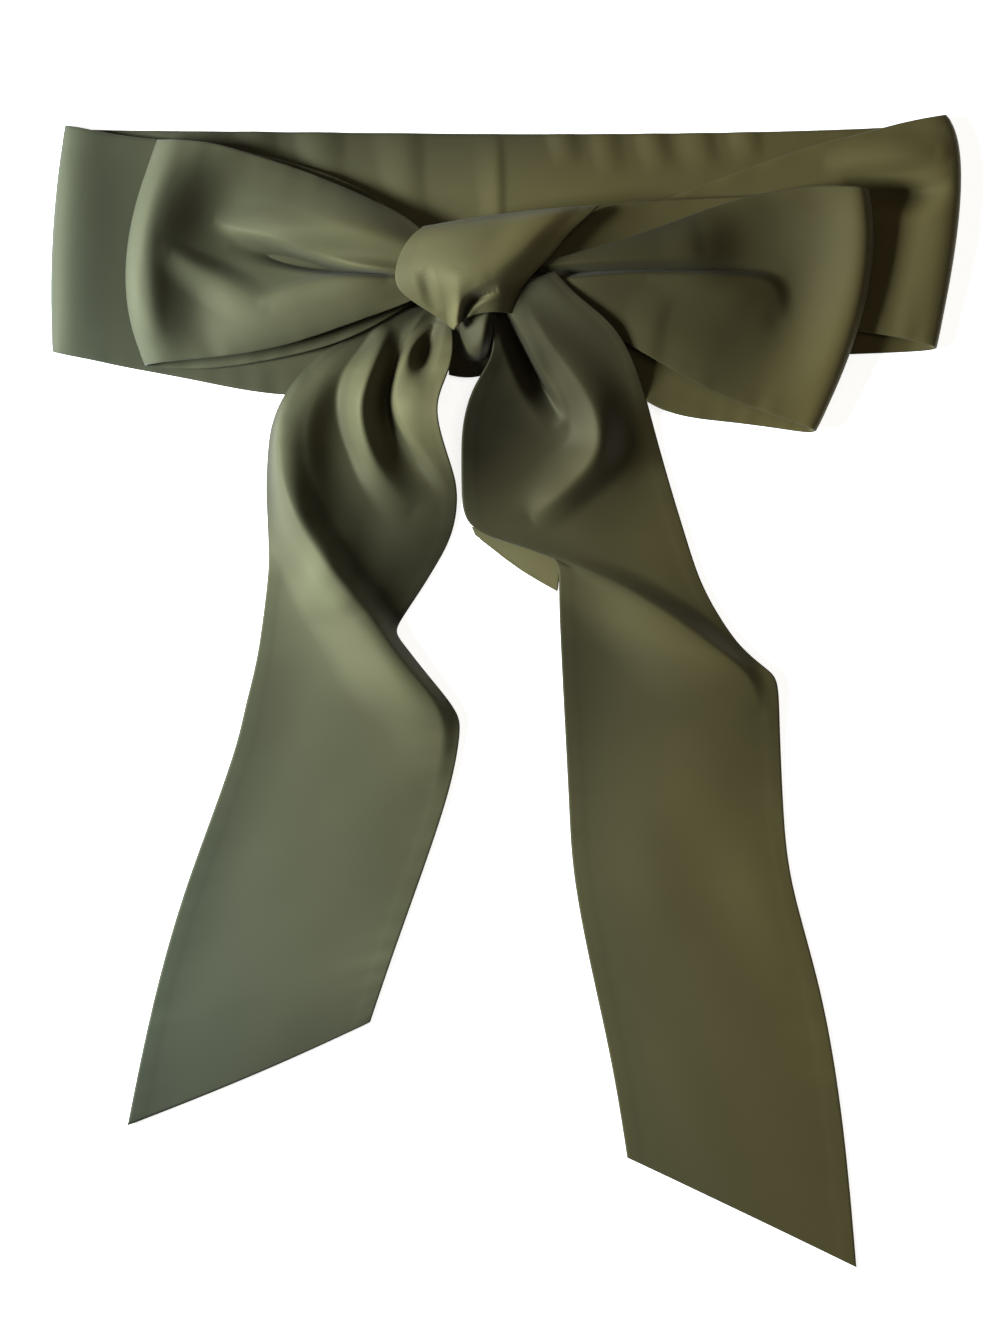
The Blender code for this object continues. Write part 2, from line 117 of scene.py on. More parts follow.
bpy.ops.mesh.primitive_plane_add(size=TABLE_SIZE, location=(0, 0, cad_low[2] - TABLE_GAP))
table = bpy.context.object
table.name = "table_top"
table.data.materials.append(table_paint("table_paint"))

for softbox in SOFTBOXES:
    add_softbox(*softbox)

world = bpy.data.worlds.new("studio")
bpy.context.scene.world = world
world.use_nodes = True
world.node_tree.nodes["Background"].inputs["Color"].default_value = (*ROOM_COLOUR, 1)
world.node_tree.nodes["Background"].inputs["Strength"].default_value = ROOM_STRENGTH
bpy.context.scene.view_settings.view_transform = "Standard"

lens = bpy.data.cameras.new("overhead")
lens.sensor_fit = "VERTICAL"
lens.sensor_height = SENSOR
lens.lens = SENSOR * CAMERA_HEIGHT / VIEW_HEIGHT
overhead = bpy.data.objects.new("overhead", lens)
overhead.location = (*VIEW_CENTRE, CAMERA_HEIGHT)
bpy.context.scene.collection.objects.link(overhead)
bpy.context.scene.camera = overhead

# ---------------------------------------------------------------------------------------------
# The waist loop. A strip of satin, two layers sewn along both edges and turned, is pressed flat
# in a loop: the back layer lies on the table, and the front layer turns over a soft fold at each
# side and runs in to the knot.

MM = 0.001
SATIN = 1.2                # thickness of the two layers, mm
TABLE = SATIN / 2          # middle of the ribbon where it lies on the table, mm
RIBBON_WIDTH = 101.0       # mm
EDGE_STEPS = (0.0012, 0.004)    # extra rows of points beside each edge, as shares of the width
CREST_STEP = 2.0           # mm between the places on a pleat's crest
CREST_BLEND = 0.4          # mm over which neighbouring places on a crest blend, close to it,
CREST_WIDENING = 0.1       # and how much wider for each mm away from it
PLEAT_ONSET = 0.08         # share of a stretch's sections over which its pleats set in
RIPPLE_HEIGHT = 0.3        # mm
SOFT_WAVES = 6
SOFT_LENGTHS = (35, 120)   # mm
SOFT_TURN = 0.9            # radians
PUCKER_HEIGHT = 0.25       # mm
PUCKER_WAVES = 4
PUCKER_LENGTHS = (9, 24)   # mm
PUCKER_SLANT = 0.3
PUCKER_REACH = 9           # mm in from the edge
SEAM_ALLOWANCE = 7.0       # mm
ALLOWANCE_FADE = 0.8       # mm
PRESSED_SHARE = 0.22       # how much thinner the two layers are beyond the allowance
EDGE_SHARE = 0.12          # what is left of the thickness at the very edge
# Painted shading in the folds: the colour darkens where the cloth lies below the cloth around it, a painted
# shade, and lightens a little on crests, a painted highlight.
FOLD_SPREAD = 7.0          # mm around a point that count as the cloth around it
FOLD_PAINTED_SHADE = 0.14        # share of light lost for each mm below that cloth
FOLD_PAINTED_SHADE_MOST = 0.6            # the most that is lost in a fold
CREST_PAINTED_LIGHT = 0.10          # the most that is gained on a crest
# The satin's colour, and the cooler colour that it is painted toward the window as painted window light.
SATIN_WARM = (0.0595, 0.0466, 0.0142)
SATIN_WINDOW_TINTED = (0.0448, 0.0515, 0.0350)
THREAD_SCALE = (2600, 260, 1)   # noise across and along the ribbon, for each metre
THREAD_DEPTH = 0.00008     # m
WINDOW_TINT_WAY = (-3.5, -0.7, 0)      # share of the cool colour gained for each metre toward the window
WINDOW_TINT_AT_KNOT = 0.33
TINT_SCALE = 16.0          # of the slow mottle
TINT_LEAST = 0.88
TINT_RANGE = 0.24
# A painted shadow along the sewn edges: darkest this far in from the edge, gone at the next, and the share
# of the colour left there.
SEAM_SHADOW_DARK_TO = 0.4         # mm in from the edge
SEAM_SHADOW_FADES_AT = 2.2        # mm
SEAM_PAINTED_SHADOW = 0.4

# A section crosses the ribbon: one edge, a point on the middle and the other edge in plan, and the
# heights of the cloth at even steps from the one edge to the other, in mm. Its shade scales the
# satin's colour there, 1 for its plain colour: one number, or a few at even steps across. It is
# mostly painted shade and painted light, for the light and dark of the folds and for light that the
# layers take from each other or throw back, and partly the duller back of the satin where it shows.
Section = namedtuple("Section", "edge middle other heights shade", defaults=(1.0,))

# A pleat is a row of stations along its crest, in mm. At each the cloth rises, or sinks, and falls
# back to its level over a width to the left and one to the right, looking along the crest.
Station = namedtuple("Station", "x y rise left right")

# A roundness of 2 makes a soft roll, and one near 1 a sharp crease.
Pleat = namedtuple("Pleat", "roundness stations")


def extended(stations):
    """One more station at each end, the neighbour mirrored through the end."""
    before, after = 2 * stations[0] - stations[1], 2 * stations[-1] - stations[-2]
    return np.concatenate([[before], stations, [after]])


def smooth_through(stations, place):
    """A uniform cubic B-spline at places from 0 to 1. Its cage is each station moved away from the
    mean of itself (4 parts) and its neighbours (1 part each), so that the curve runs close to the
    stations."""
    stations = np.asarray(stations, dtype=float)
    padded = extended(stations)
    averaged = (padded[:-2] + 4 * padded[1:-1] + padded[2:]) / 6
    cage = extended(stations + (stations - averaged))
    position = np.asarray(place) * (len(stations) - 1)
    span = np.clip(position.astype(int), 0, len(stations) - 2)
    f = (position - span).reshape((-1,) + (1,) * (stations.ndim - 1))
    weights = (
        (1 - f) ** 3 / 6,
        (3 * f**3 - 6 * f**2 + 4) / 6,
        (-3 * f**3 + 3 * f**2 + 3 * f + 1) / 6,
        f**3 / 6,
    )
    return sum(weight * cage[span + step] for step, weight in enumerate(weights))


def even_places(sections, count):
    """Places along the ribbon, evenly spaced in length along its middle: the length is summed
    over short chords, and its inverse is read off for equal steps."""
    fine = np.linspace(0, 1, 40 * len(sections))
    middle = smooth_through([section.middle for section in sections], fine)
    run = np.concatenate([[0], np.cumsum(np.linalg.norm(np.diff(middle, axis=0), axis=1))])
    return np.interp(np.linspace(0, run[-1], count), run, fine), run[-1]


def lofted(sections, across, along):
    """The ribbon's middle surface as a grid of points. In plan each place along is the parabola
    through the section's edge, middle and other edge; the heights are a B-spline both ways."""
    plan = np.array([(section.edge, section.middle, section.other) for section in sections], float)
    edge, middle, other = np.moveaxis(smooth_through(plan, along), 1, 0)[:, :, None, :]
    u = across[None, :, None]
    plan = edge * (1 - u) * (1 - 2 * u) + middle * 4 * u * (1 - u) + other * u * (2 * u - 1)
    rows = smooth_through([section.heights for section in sections], along)
    heights = smooth_through(rows.T, across).T
    return np.concatenate([plan, heights[..., None]], axis=-1)


def pleated(points, pleats, weight):
    """Raise the pleats: by the rise times (1 - (distance / width) to the roundness) squared. Each
    point looks at every place on a crest, and a place counts for e to the power of minus its extra
    distance over a blend that widens away from the crest. The distance is taken square to the
    crest, or to its end."""
    plan = points[..., :2].reshape(-1, 2)
    for roundness, stations in pleats:
        reach = np.linalg.norm(np.diff(np.array(stations)[:, :2], axis=0), axis=1).sum()
        crest = smooth_through(stations, np.linspace(0, 1, int(reach / CREST_STEP) + 2))
        way = np.gradient(crest[:, :2], axis=0)
        way /= np.linalg.norm(way, axis=1)[:, None]
        offset = plan[:, None, :] - crest[None, :, :2]
        away = np.hypot(offset[..., 0], offset[..., 1])
        least = away.min(axis=1, keepdims=True)
        share = np.exp((least - away) / (CREST_BLEND + CREST_WIDENING * least))
        share /= share.sum(axis=1, keepdims=True)
        leftward = (share * (way[:, 0] * offset[..., 1] - way[:, 1] * offset[..., 0])).sum(axis=1)
        onward = (share * (way[:, 0] * offset[..., 0] + way[:, 1] * offset[..., 1])).sum(axis=1)
        distance = np.hypot(leftward, onward)
        side = leftward / np.maximum(distance, 1e-6)
        rise, left, right = (share @ crest[:, 2:]).T
        width = right + (left - right) * (1 + side) / 2
        falloff = np.clip(1 - (distance / width) ** roundness, 0, 1) ** 2
        points[..., 2] += (rise * falloff).reshape(points.shape[:2]) * weight
    return points


def rippled(points, across_mm, along_mm, seed, height):
    """Let the cloth wander softly: the mean of a few long sine waves over the ribbon, with seeded
    lengths, directions and phases. The seam puckers: short waves along each edge, which fade as e
    to the power of minus the distance from the edge over their reach."""
    rng = np.random.default_rng(seed)
    x, y = across_mm[None, :], along_mm[:, None]
    full_turn = 2 * np.pi
    soft = 0
    for _ in range(SOFT_WAVES):
        wave = rng.uniform(*SOFT_LENGTHS)
        turn = rng.uniform(-SOFT_TURN, SOFT_TURN)
        phase = rng.uniform(0, full_turn)
        run = x * np.cos(turn) + y * np.sin(turn)
        soft = soft + np.sin(full_turn * run / wave + phase) / SOFT_WAVES
    gathers = 0
    for inset in (x, RIBBON_WIDTH - x):
        for _ in range(PUCKER_WAVES):
            wave = rng.uniform(*PUCKER_LENGTHS)
            slant = rng.uniform(-PUCKER_SLANT, PUCKER_SLANT)
            phase = rng.uniform(0, full_turn)
            gather = np.sin(full_turn * (y + slant * x) / wave + phase)
            gathers = gathers + np.exp(-inset / PUCKER_REACH) * gather / PUCKER_WAVES
    points[..., 2] += height * soft + PUCKER_HEIGHT * gathers
    return points


def normals_of(points):
    """Unit normals of a grid of points: the cross product of its two finite differences."""
    along, across = np.gradient(points, axis=0), np.gradient(points, axis=1)
    normal = np.cross(across, along)
    return normal / np.maximum(np.linalg.norm(normal, axis=-1, keepdims=True), 1e-12)


def wall_profile(across_mm):
    """Half the ribbon's thickness over its width: a quarter circle at each edge, a fuller band
    where the seam allowance lies inside, and the two pressed layers beyond it, reached by a
    logistic step."""
    inset = np.minimum(across_mm, RIBBON_WIDTH - across_mm)
    rounded = np.sqrt(np.clip(1 - (1 - np.clip(inset / (SATIN / 2), 0, 1)) ** 2, 0, 1))
    allowance = 1 - PRESSED_SHARE / (1 + np.exp(-(inset - SEAM_ALLOWANCE) / ALLOWANCE_FADE))
    return SATIN / 2 * np.maximum(rounded, EDGE_SHARE) * allowance


def blurred(across_mm, along_mm, heights, spread):
    """Heights averaged over their neighbours, each weighted by e to the power of minus half the
    square of its distance over the spread, first across the ribbon and then along it."""
    for places in (across_mm, along_mm):
        weights = np.exp(-0.5 * ((places[:, None] - places[None, :]) / spread) ** 2)
        heights = heights @ (weights / weights.sum(axis=1, keepdims=True)).T
        heights = heights.T
    return heights


def painted_fold_shading(across_mm, along_mm, heights, shade):
    """The painted shade and light over the ribbon: the sections' shade, less a share for each millimetre
    that a point lies below the cloth around it, a painted shade in the folds, and a little more on
    crests, a painted highlight."""
    depth = blurred(across_mm, along_mm, heights, FOLD_SPREAD) - heights
    return shade * (1 - np.clip(FOLD_PAINTED_SHADE * depth, -CREST_PAINTED_LIGHT, FOLD_PAINTED_SHADE_MOST))


def fix_normals(piece):
    """Point the faces of a closed mesh outwards."""
    shell = bmesh.new()
    shell.from_mesh(piece.data)
    bmesh.ops.recalc_face_normals(shell, faces=shell.faces)
    shell.to_mesh(piece.data)
    shell.free()


def add_cloth(name, points, length, half_wall, shade):
    """A closed thin shell around a middle surface: the grid moved out along its normals on both
    sides by half the wall, with a strip round the rim. The UV map is the place on the ribbon, in
    metres, across and along, and the painted shade and light are kept for each point."""
    rows, columns = points.shape[:2]
    normal = normals_of(points)
    if normal[rows // 2, columns // 2, 2] < 0:
        normal = -normal
    top = points + normal * half_wall[..., None]
    under = points - normal * half_wall[..., None]
    vertices = np.concatenate([top.reshape(-1, 3), under.reshape(-1, 3)]) * MM
    index = np.arange(rows * columns).reshape(rows, columns)
    below = index + rows * columns
    quads = [
        np.stack([index[:-1, :-1], index[1:, :-1], index[1:, 1:], index[:-1, 1:]], -1).reshape(-1, 4),
        np.stack([below[:-1, :-1], below[:-1, 1:], below[1:, 1:], below[1:, :-1]], -1).reshape(-1, 4),
    ]
    rim = np.concatenate([index[0, :-1], index[:-1, -1], index[-1, :0:-1], index[:0:-1, 0]])
    after = np.roll(rim, -1)
    quads.append(np.stack([rim, after, after + rows * columns, rim + rows * columns], -1))
    faces = np.concatenate(quads)
    mesh = bpy.data.meshes.new(name)
    mesh.from_pydata(vertices, [], faces)
    across_mm, along_mm = np.linspace(0, RIBBON_WIDTH, columns), np.linspace(0, length, rows)
    place = np.stack(np.meshgrid(across_mm, along_mm), -1).reshape(-1, 2) * MM
    place = np.concatenate([place, place])
    layer = mesh.uv_layers.new(name="ribbon")
    layer.data.foreach_set("uv", place[faces.reshape(-1)].reshape(-1))
    # the painted shade and light, kept on each point for the material
    tone = mesh.attributes.new("shade", "FLOAT", "POINT")
    tone.data.foreach_set("value", np.tile(shade.reshape(-1), 2))
    mesh.shade_smooth()
    cloth = bpy.data.objects.new(name, mesh)
    bpy.context.scene.collection.objects.link(cloth)
    fix_normals(cloth)
    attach(cloth, "root")
    return cloth


def satin(name, warm, window_tinted):
    """Satin: a smooth cloth with a broad tinted shine. Long fine noise along the ribbon stands for
    the floating threads, slow noise mottles its colour a little, the colour goes from the warm one
    to the cool one toward the window as painted window light, a painted shadow runs along the sewn
    edges, and the colour is scaled by the painted shade and light kept on the points."""
    made = bpy.data.materials.new(name)
    made.use_nodes = True
    nodes, links = made.node_tree.nodes, made.node_tree.links
    shader = nodes["Principled BSDF"]
    shader.inputs["Metallic"].default_value = 0.0
    shader.inputs["Specular IOR Level"].default_value = 0.36
    shader.inputs["Roughness"].default_value = 0.66
    shader.inputs["Specular Tint"].default_value = (0.86, 0.78, 0.50, 1)
    shader.inputs["Sheen Weight"].default_value = 0.05
    shader.inputs["Sheen Roughness"].default_value = 0.5

    def joined(kind, operation, *inputs):
        """A maths node of a kind and operation, its inputs numbers or other nodes' outputs."""
        node = nodes.new(kind)
        node.operation = operation
        for socket, value in zip(node.inputs, inputs):
            if isinstance(value, (int, float, tuple)):
                socket.default_value = value
            else:
                links.new(value, socket)
        single = kind == "ShaderNodeMath" or operation == "DOT_PRODUCT"
        return node.outputs["Value"] if single else node.outputs["Vector"]

    ribbon = nodes.new("ShaderNodeUVMap")
    ribbon.uv_map = "ribbon"
    threads = nodes.new("ShaderNodeMapping")
    threads.inputs["Scale"].default_value = THREAD_SCALE
    links.new(ribbon.outputs["UV"], threads.inputs["Vector"])
    floats = nodes.new("ShaderNodeTexNoise")
    floats.inputs["Scale"].default_value = 1.0
    floats.inputs["Detail"].default_value = 2.0
    links.new(threads.outputs["Vector"], floats.inputs["Vector"])
    bump = nodes.new("ShaderNodeBump")
    bump.inputs["Strength"].default_value = 0.10
    bump.inputs["Distance"].default_value = THREAD_DEPTH
    links.new(floats.outputs["Fac"], bump.inputs["Height"])
    links.new(bump.outputs["Normal"], shader.inputs["Normal"])

    # painted window light: the colour turns cooler toward the window
    room = nodes.new("ShaderNodeTexCoord").outputs["Object"]
    toward_window = joined("ShaderNodeVectorMath", "DOT_PRODUCT", room, WINDOW_TINT_WAY)
    painted_window_tint = joined("ShaderNodeMath", "ADD", toward_window, WINDOW_TINT_AT_KNOT)
    tone = nodes.new("ShaderNodeValToRGB")
    tone.color_ramp.elements[0].color = (*warm, 1)
    tone.color_ramp.elements[1].color = (*window_tinted, 1)
    links.new(painted_window_tint, tone.inputs["Fac"])
    slow = nodes.new("ShaderNodeTexNoise")
    slow.inputs["Scale"].default_value = TINT_SCALE
    slow.inputs["Detail"].default_value = 3.0
    links.new(room, slow.inputs["Vector"])
    mottle = joined("ShaderNodeMath", "MULTIPLY_ADD", slow.outputs["Fac"], TINT_RANGE, TINT_LEAST)
    # a painted shadow along both sewn edges
    place = nodes.new("ShaderNodeSeparateXYZ")
    links.new(ribbon.outputs["UV"], place.inputs["Vector"])
    other_inset = joined("ShaderNodeMath", "SUBTRACT", RIBBON_WIDTH * MM, place.outputs["X"])
    inset = joined("ShaderNodeMath", "MINIMUM", place.outputs["X"], other_inset)
    seam_painted_shadow = nodes.new("ShaderNodeMapRange")
    seam_painted_shadow.inputs["From Min"].default_value = SEAM_SHADOW_DARK_TO * MM
    seam_painted_shadow.inputs["From Max"].default_value = SEAM_SHADOW_FADES_AT * MM
    seam_painted_shadow.inputs["To Min"].default_value = SEAM_PAINTED_SHADOW
    links.new(inset, seam_painted_shadow.inputs["Value"])
    # the colour is scaled by the painted shade and light on the points, the mottle and the painted edge
    # shadow
    shade = nodes.new("ShaderNodeAttribute")
    shade.attribute_name = "shade"
    dimmed = joined("ShaderNodeMath", "MULTIPLY", shade.outputs["Fac"], mottle)
    dimmed = joined("ShaderNodeMath", "MULTIPLY", dimmed, seam_painted_shadow.outputs["Result"])
    colour = joined("ShaderNodeVectorMath", "SCALE", tone.outputs["Color"])
    links.new(dimmed, colour.node.inputs["Scale"])
    links.new(colour, shader.inputs["Base Color"])
    return made


def section_shades(sections, across, along):
    """The sections' painted shade and light over the ribbon, joined by straight lines across it
    and along it.
    """
    levels = [np.atleast_1d(section.shade) for section in sections]
    rows = np.array([np.interp(across, np.linspace(0, 1, level.size), level) for level in levels])
    row = along * (len(sections) - 1)
    lower = np.minimum(row.astype(int), len(sections) - 2)
    part = (row - lower)[:, None]
    return rows[lower] * (1 - part) + rows[lower + 1] * part


def add_ribbon(name, sections, pleats, cells, seed, ripple=RIPPLE_HEIGHT, pleated_from=0.0):
    """A stretch of the sash: lofted, pleated from a share of its sections on, rippled, kept above
    the table, and given its wall and its painted shade and light."""
    across_cells, along_cells = cells
    near = np.array(EDGE_STEPS)
    inner = np.linspace(0, 1, across_cells + 1)[1:-1]
    across = np.concatenate([[0], near, inner, 1 - near[::-1], [1]])
    along, length = even_places(sections, along_cells + 1)
    across_mm, along_mm = across * RIBBON_WIDTH, np.linspace(0, length, along_cells + 1)
    points = lofted(sections, across, along)
    weight = np.clip((along - pleated_from) / PLEAT_ONSET + 1, 0, 1)[:, None]
    points = pleated(points, pleats, weight)
    points = rippled(points, across_mm, along_mm, seed, ripple)
    points[..., 2] = np.maximum(points[..., 2], TABLE)
    half_wall = np.broadcast_to(wall_profile(across_mm), points.shape[:2])
    # the painted shade and light: the sections' shades, with painted shade in the folds and painted
    # highlights on crests
    shade = section_shades(sections, across, along)
    shade = painted_fold_shading(across_mm, along_mm, points[..., 2], shade)
    cloth = add_cloth(name, points, length, half_wall, shade)
    cloth.data.materials.append(SATIN_OLIVE)
    return cloth, length * MM


SATIN_OLIVE = satin("satin_olive", SATIN_WARM, SATIN_WINDOW_TINTED)

# from left to right, on the table
# their shades darken the waist band, most along the top of its back between the loops: painted shade
WAIST_BACK = (
    Section((-186, 253.8), (-185, 203), (-184, 151.8), (0.6, 0.6, 0.6, 0.6, 0.6), 0.85),
    Section((-100, 253), (-99, 202), (-98, 150.8), (0.6, 0.6, 0.6, 0.6, 0.6), (0.42, 0.85, 1.05, 1.1, 1.1)),
    Section((0, 252), (-5, 201), (-10, 150.4), (0.6, 0.6, 0.6, 0.6, 0.6), (0.42, 1, 1.15, 1.1, 1.1)),
    Section((95, 252.6), (85, 202), (75, 150.4), (0.6, 0.6, 0.6, 0.6, 0.6), 0.78),
    Section((177, 255.2), (163, 204), (149, 152.8), (0.6, 0.6, 0.6, 0.6, 0.6), 0.9),
)

# from the back's left end, over the left fold and in to the knot
WAIST_LEFT_SECTIONS = (
    Section((-195, 254.8), (-197, 204), (-197, 153), (0.8, 0.7, 0.7, 0.7, 0.7), 0.8),
    Section((-199, 255.8), (-204.8, 205), (-204.8, 153.8), (4, 5, 5, 4.6, 4), 0.7),
    Section((-191, 254.2), (-197, 203), (-196.5, 151.8), (6.6, 9.4, 9.6, 9.2, 6.6), 0.74),
    Section((-180, 252), (-185, 201), (-185, 149.6), (5.2, 7.4, 8, 7.6, 5.4), 0.78),
    Section((-166, 250), (-170, 198), (-170, 146.4), (3.8, 4.4, 4.8, 4.8, 4), 0.71),
    Section((-140, 247), (-140, 195), (-140, 141.2), (3.2, 3, 3, 3, 3), 0.7),
    Section((-100, 235), (-100, 186), (-100, 134.4), (3, 3, 3, 3, 2.4), 0.65),
    Section((-66, 221), (-66, 183), (-62, 141), (3, 3, 3, 3, 2.4), 0.5),
    Section((-38, 204), (-38, 188), (-38, 170), (3.6, 4, 4, 3.8, 3.6), 0.4),
)

# from the back's right end, over the right fold and in to the knot
WAIST_RIGHT_SECTIONS = (
    Section((188, 258.2), (192, 220), (181, 154), (0.8, 0.8, 0.7, 0.7, 0.7), 0.9),
    Section((197.4, 260.2), (203.5, 226), (192.4, 155.4), (4, 4.6, 5, 4.8, 4), 0.9),
    Section((190.5, 259.2), (196, 222), (186, 157.4), (6.6, 8.4, 9.4, 8.8, 6.4), (0.8, 1, 0.82)),
    Section((175, 256.2), (180, 215), (173, 160.6), (5.6, 6.6, 7, 6.8, 5.6), (0.8, 1, 0.85)),
    Section((156, 251), (158, 208), (152, 163.8), (4.4, 4.2, 4, 4, 4), 0.9),
    Section((131, 244.8), (131, 206), (126, 168), (3.6, 3.2, 3, 3, 3), 0.9),
    Section((86, 228.2), (86, 200), (82, 172), (3.2, 3, 3, 3, 3), 0.8),
    Section((48, 214), (47, 196), (46, 178), (3.2, 3.2, 3.2, 3.2, 3.2), 0.8),
    Section((16, 204), (16, 193), (16, 182), (3.6, 3.6, 3.6, 3.6, 3.6), 0.8),
)

WAIST_PLEATS = (
    # the bulge below the top of the right fold
    Pleat(2, (
        Station(142, 238, 0, 10, 8),
        Station(160, 241, 2.5, 11, 9),
        Station(178, 242, 3.5, 12, 9),
        Station(192, 243, 1, 10, 8),
    )),
    # the dent under it, where the loop's tip presses
    Pleat(1.6, (
        Station(150, 230, 0, 6, 9),
        Station(164, 227, -3, 7, 13),
        Station(178, 225.5, -4.4, 8, 13),
        Station(190, 226, -2.4, 8, 12),
        Station(199, 229, 0, 6, 8),
    )),
    # soft gathers below the top seam, uneven as the sewing drew them in
    Pleat(2, (
        Station(-113, 252, 1.2, 12, 14),
        Station(-114, 238, 1.0, 12, 14),
        Station(-112, 224, 0, 10, 10),
    )),
    Pleat(2, (
        Station(-84, 252, 1.5, 12, 14),
        Station(-83, 240, 1.2, 12, 13),
        Station(-81, 226, 0, 10, 10),
    )),
    Pleat(2, (
        Station(-47, 252, 1.0, 10, 16),
        Station(-46, 236, 1.2, 10, 16),
        Station(-44, 218, 0.8, 10, 12),
    )),
    # the lighter stripe above the knot, with a crisp left side
    Pleat(1.5, (
        Station(-5, 252, 0.5, 4, 12),
        Station(-4.6, 234, 0.9, 4, 12),
        Station(-4.2, 214, 0.9, 4, 12),
    )),
    Pleat(2, (
        Station(24, 253, 1.3, 8, 10),
        Station(26, 245, 0.9, 8, 10),
        Station(27, 237, 0, 8, 8),
    )),
    Pleat(2, (
        Station(44, 253, 1.1, 8, 9),
        Station(45, 243, 0.8, 8, 9),
        Station(47, 232, 0, 8, 8),
    )),
    Pleat(2, (
        Station(65, 253, 1.3, 8, 10),
        Station(67, 244, 1.0, 8, 10),
        Station(70, 234, 0, 8, 8),
    )),
    Pleat(2, (
        Station(86, 254, 1.1, 8, 12),
        Station(88, 244, 0.9, 8, 12),
        Station(91, 235, 0, 8, 8),
    )),
    Pleat(2, (
        Station(107, 254, 1.1, 9, 11),
        Station(109, 246, 0.8, 8, 11),
        Station(111, 239, 0, 8, 8),
    )),
)

WAIST_SECTIONS = WAIST_LEFT_SECTIONS[::-1] + WAIST_BACK + WAIST_RIGHT_SECTIONS
waist_band, waist_length = add_ribbon(
    "waist_band", WAIST_SECTIONS, WAIST_PLEATS, cells=(56, 500), seed=3)
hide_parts("waist_left", "waist_back", "waist_right")

# ---------------------------------------------------------------------------------------------
# The bow's two loops, of the same doubled satin. Each leaves the knot behind, lies flat out to its
# tip, turns over in a soft roll and comes back in front, gathered into creases toward the knot,
# which grips it. The right one drops lower.

# the shades darken the back layer toward the knot and the front's top edge, and lighten the tip: painted
# shade and painted light
LEFT_LOOP_SECTIONS = (
    Section((-39, 203), (-39, 190), (-39, 178), (8.4, 8.4, 8.4, 8.4, 8.4, 8.4, 8.4), 0.5),
    Section((-62, 225), (-64, 192), (-68, 161), (5.6, 6.2, 7, 7, 7.4, 8, 8), 0.55),
    Section((-95, 238), (-98, 194), (-98, 152), (4.4, 4.6, 4.8, 4.8, 5, 5.4, 5.6), 0.65),
    Section((-128, 245.5), (-136, 196), (-134, 146), (4.8, 4.8, 4.8, 4.8, 4.8, 4.8, 5.2), 1),
    Section((-152, 248.8), (-160, 195), (-156, 147), (5.6, 5.6, 5.6, 5.6, 5.6, 5.6, 5.6), 1),
    Section((-156.6, 248.6), (-171.3, 192.5), (-162.6, 147.4), (8, 11, 13, 14, 13.6, 12, 8.4)),
    Section((-150.5, 248.2), (-163, 195), (-156, 148.4), (13.8, 20, 23, 24, 23, 20.4, 13.8), 1.05),
    Section((-141, 247.6), (-151.5, 195), (-147, 149.4), (14.4, 17.8, 17.8, 18, 17.4, 17.2, 14.2), 1.15),
    Section((-130, 246.2), (-138, 195.5), (-135, 150.6), (13, 11.4, 9.6, 12.2, 12.8, 12.8, 13.2),
            (1, 1.2, 1.05)),
    Section((-118, 243), (-122, 196), (-121, 152.2), (10, 7.8, 8.6, 7.2, 14.6, 16.4, 14),
            (0.75, 1.15, 0.95)),
    Section((-98, 237), (-101, 196), (-100, 156.2), (7.8, 10, 15.4, 6.6, 15.6, 19, 14), (0.6, 1.1, 1)),
    Section((-79, 229.6), (-80, 196), (-80, 162.6), (8.4, 15.6, 20, 9, 18.6, 19.6, 14.8), (0.8, 1.1, 1)),
    Section((-60, 221), (-61, 195), (-61, 169.4), (9.6, 17.4, 21.2, 14, 19.8, 19.8, 15.4), (0.95, 1.05, 1)),
    Section((-46, 213.6), (-46, 193.6), (-46, 174.8), (11.4, 16, 18.6, 16.2, 17.6, 17.2, 15.2)),
    Section((-36, 205), (-36, 192), (-36, 180), (14, 16, 17, 17, 17, 17, 16)),
)

LEFT_LOOP_PLEATS = (
    # the sharp turn at the loop's tip
    Pleat(1.4, (
        Station(-147, 243, 0, 8, 6),
        Station(-156.5, 231, 1.2, 8, 6),
        Station(-162, 218, 1.8, 8, 6),
        Station(-163.6, 208, 1.8, 8, 6),
        Station(-162.4, 196, 1.6, 9, 6),
        Station(-160.4, 184, 1.4, 9, 6),
        Station(-159.6, 168, 1.2, 8, 6),
        Station(-158, 156, 0, 8, 6),
    )),
    # the upper lobe, down to its crisp lower edge
    Pleat(1.4, (
        Station(-132, 213, 0, 9, 6),
        Station(-121, 208.4, 2.6, 14, 5),
        Station(-106, 204.4, 4.4, 15, 3.5),
        Station(-92, 199.4, 5, 15, 3.2),
        Station(-76, 194.2, 4, 14, 3),
        Station(-60, 190.8, 2.5, 12, 3),
        Station(-46, 188.5, 0, 8, 3),
    )),
    # the crease below that edge
    Pleat(1.4, (
        Station(-126, 202, 0, 5, 7),
        Station(-110, 198, -2.4, 6, 7),
        Station(-94, 193, -6.6, 6, 4.6),
        Station(-79, 190, -7.4, 4, 3.6),
        Station(-65, 188.6, -6, 2.5, 3),
        Station(-48, 187.5, -2, 2.5, 2.5),
    )),
    # the rim of the lower lobe
    Pleat(1.5, (
        Station(-112, 175, 0, 5, 10),
        Station(-100, 180, 2, 4, 12),
        Station(-87, 184.4, 2.6, 3, 13),
        Station(-71, 186.2, 2.6, 2.5, 12),
        Station(-54, 185.8, 0, 2.5, 9),
    )),
    # its blunt end toward the tip
    Pleat(1.8, (
        Station(-151, 197, 0.6, 7, 9),
        Station(-141, 191.4, 3, 8, 13),
        Station(-129, 185.6, 3, 9, 15),
        Station(-117, 179, 1.6, 9, 15),
        Station(-107, 172, 0, 9, 13),
    )),
)
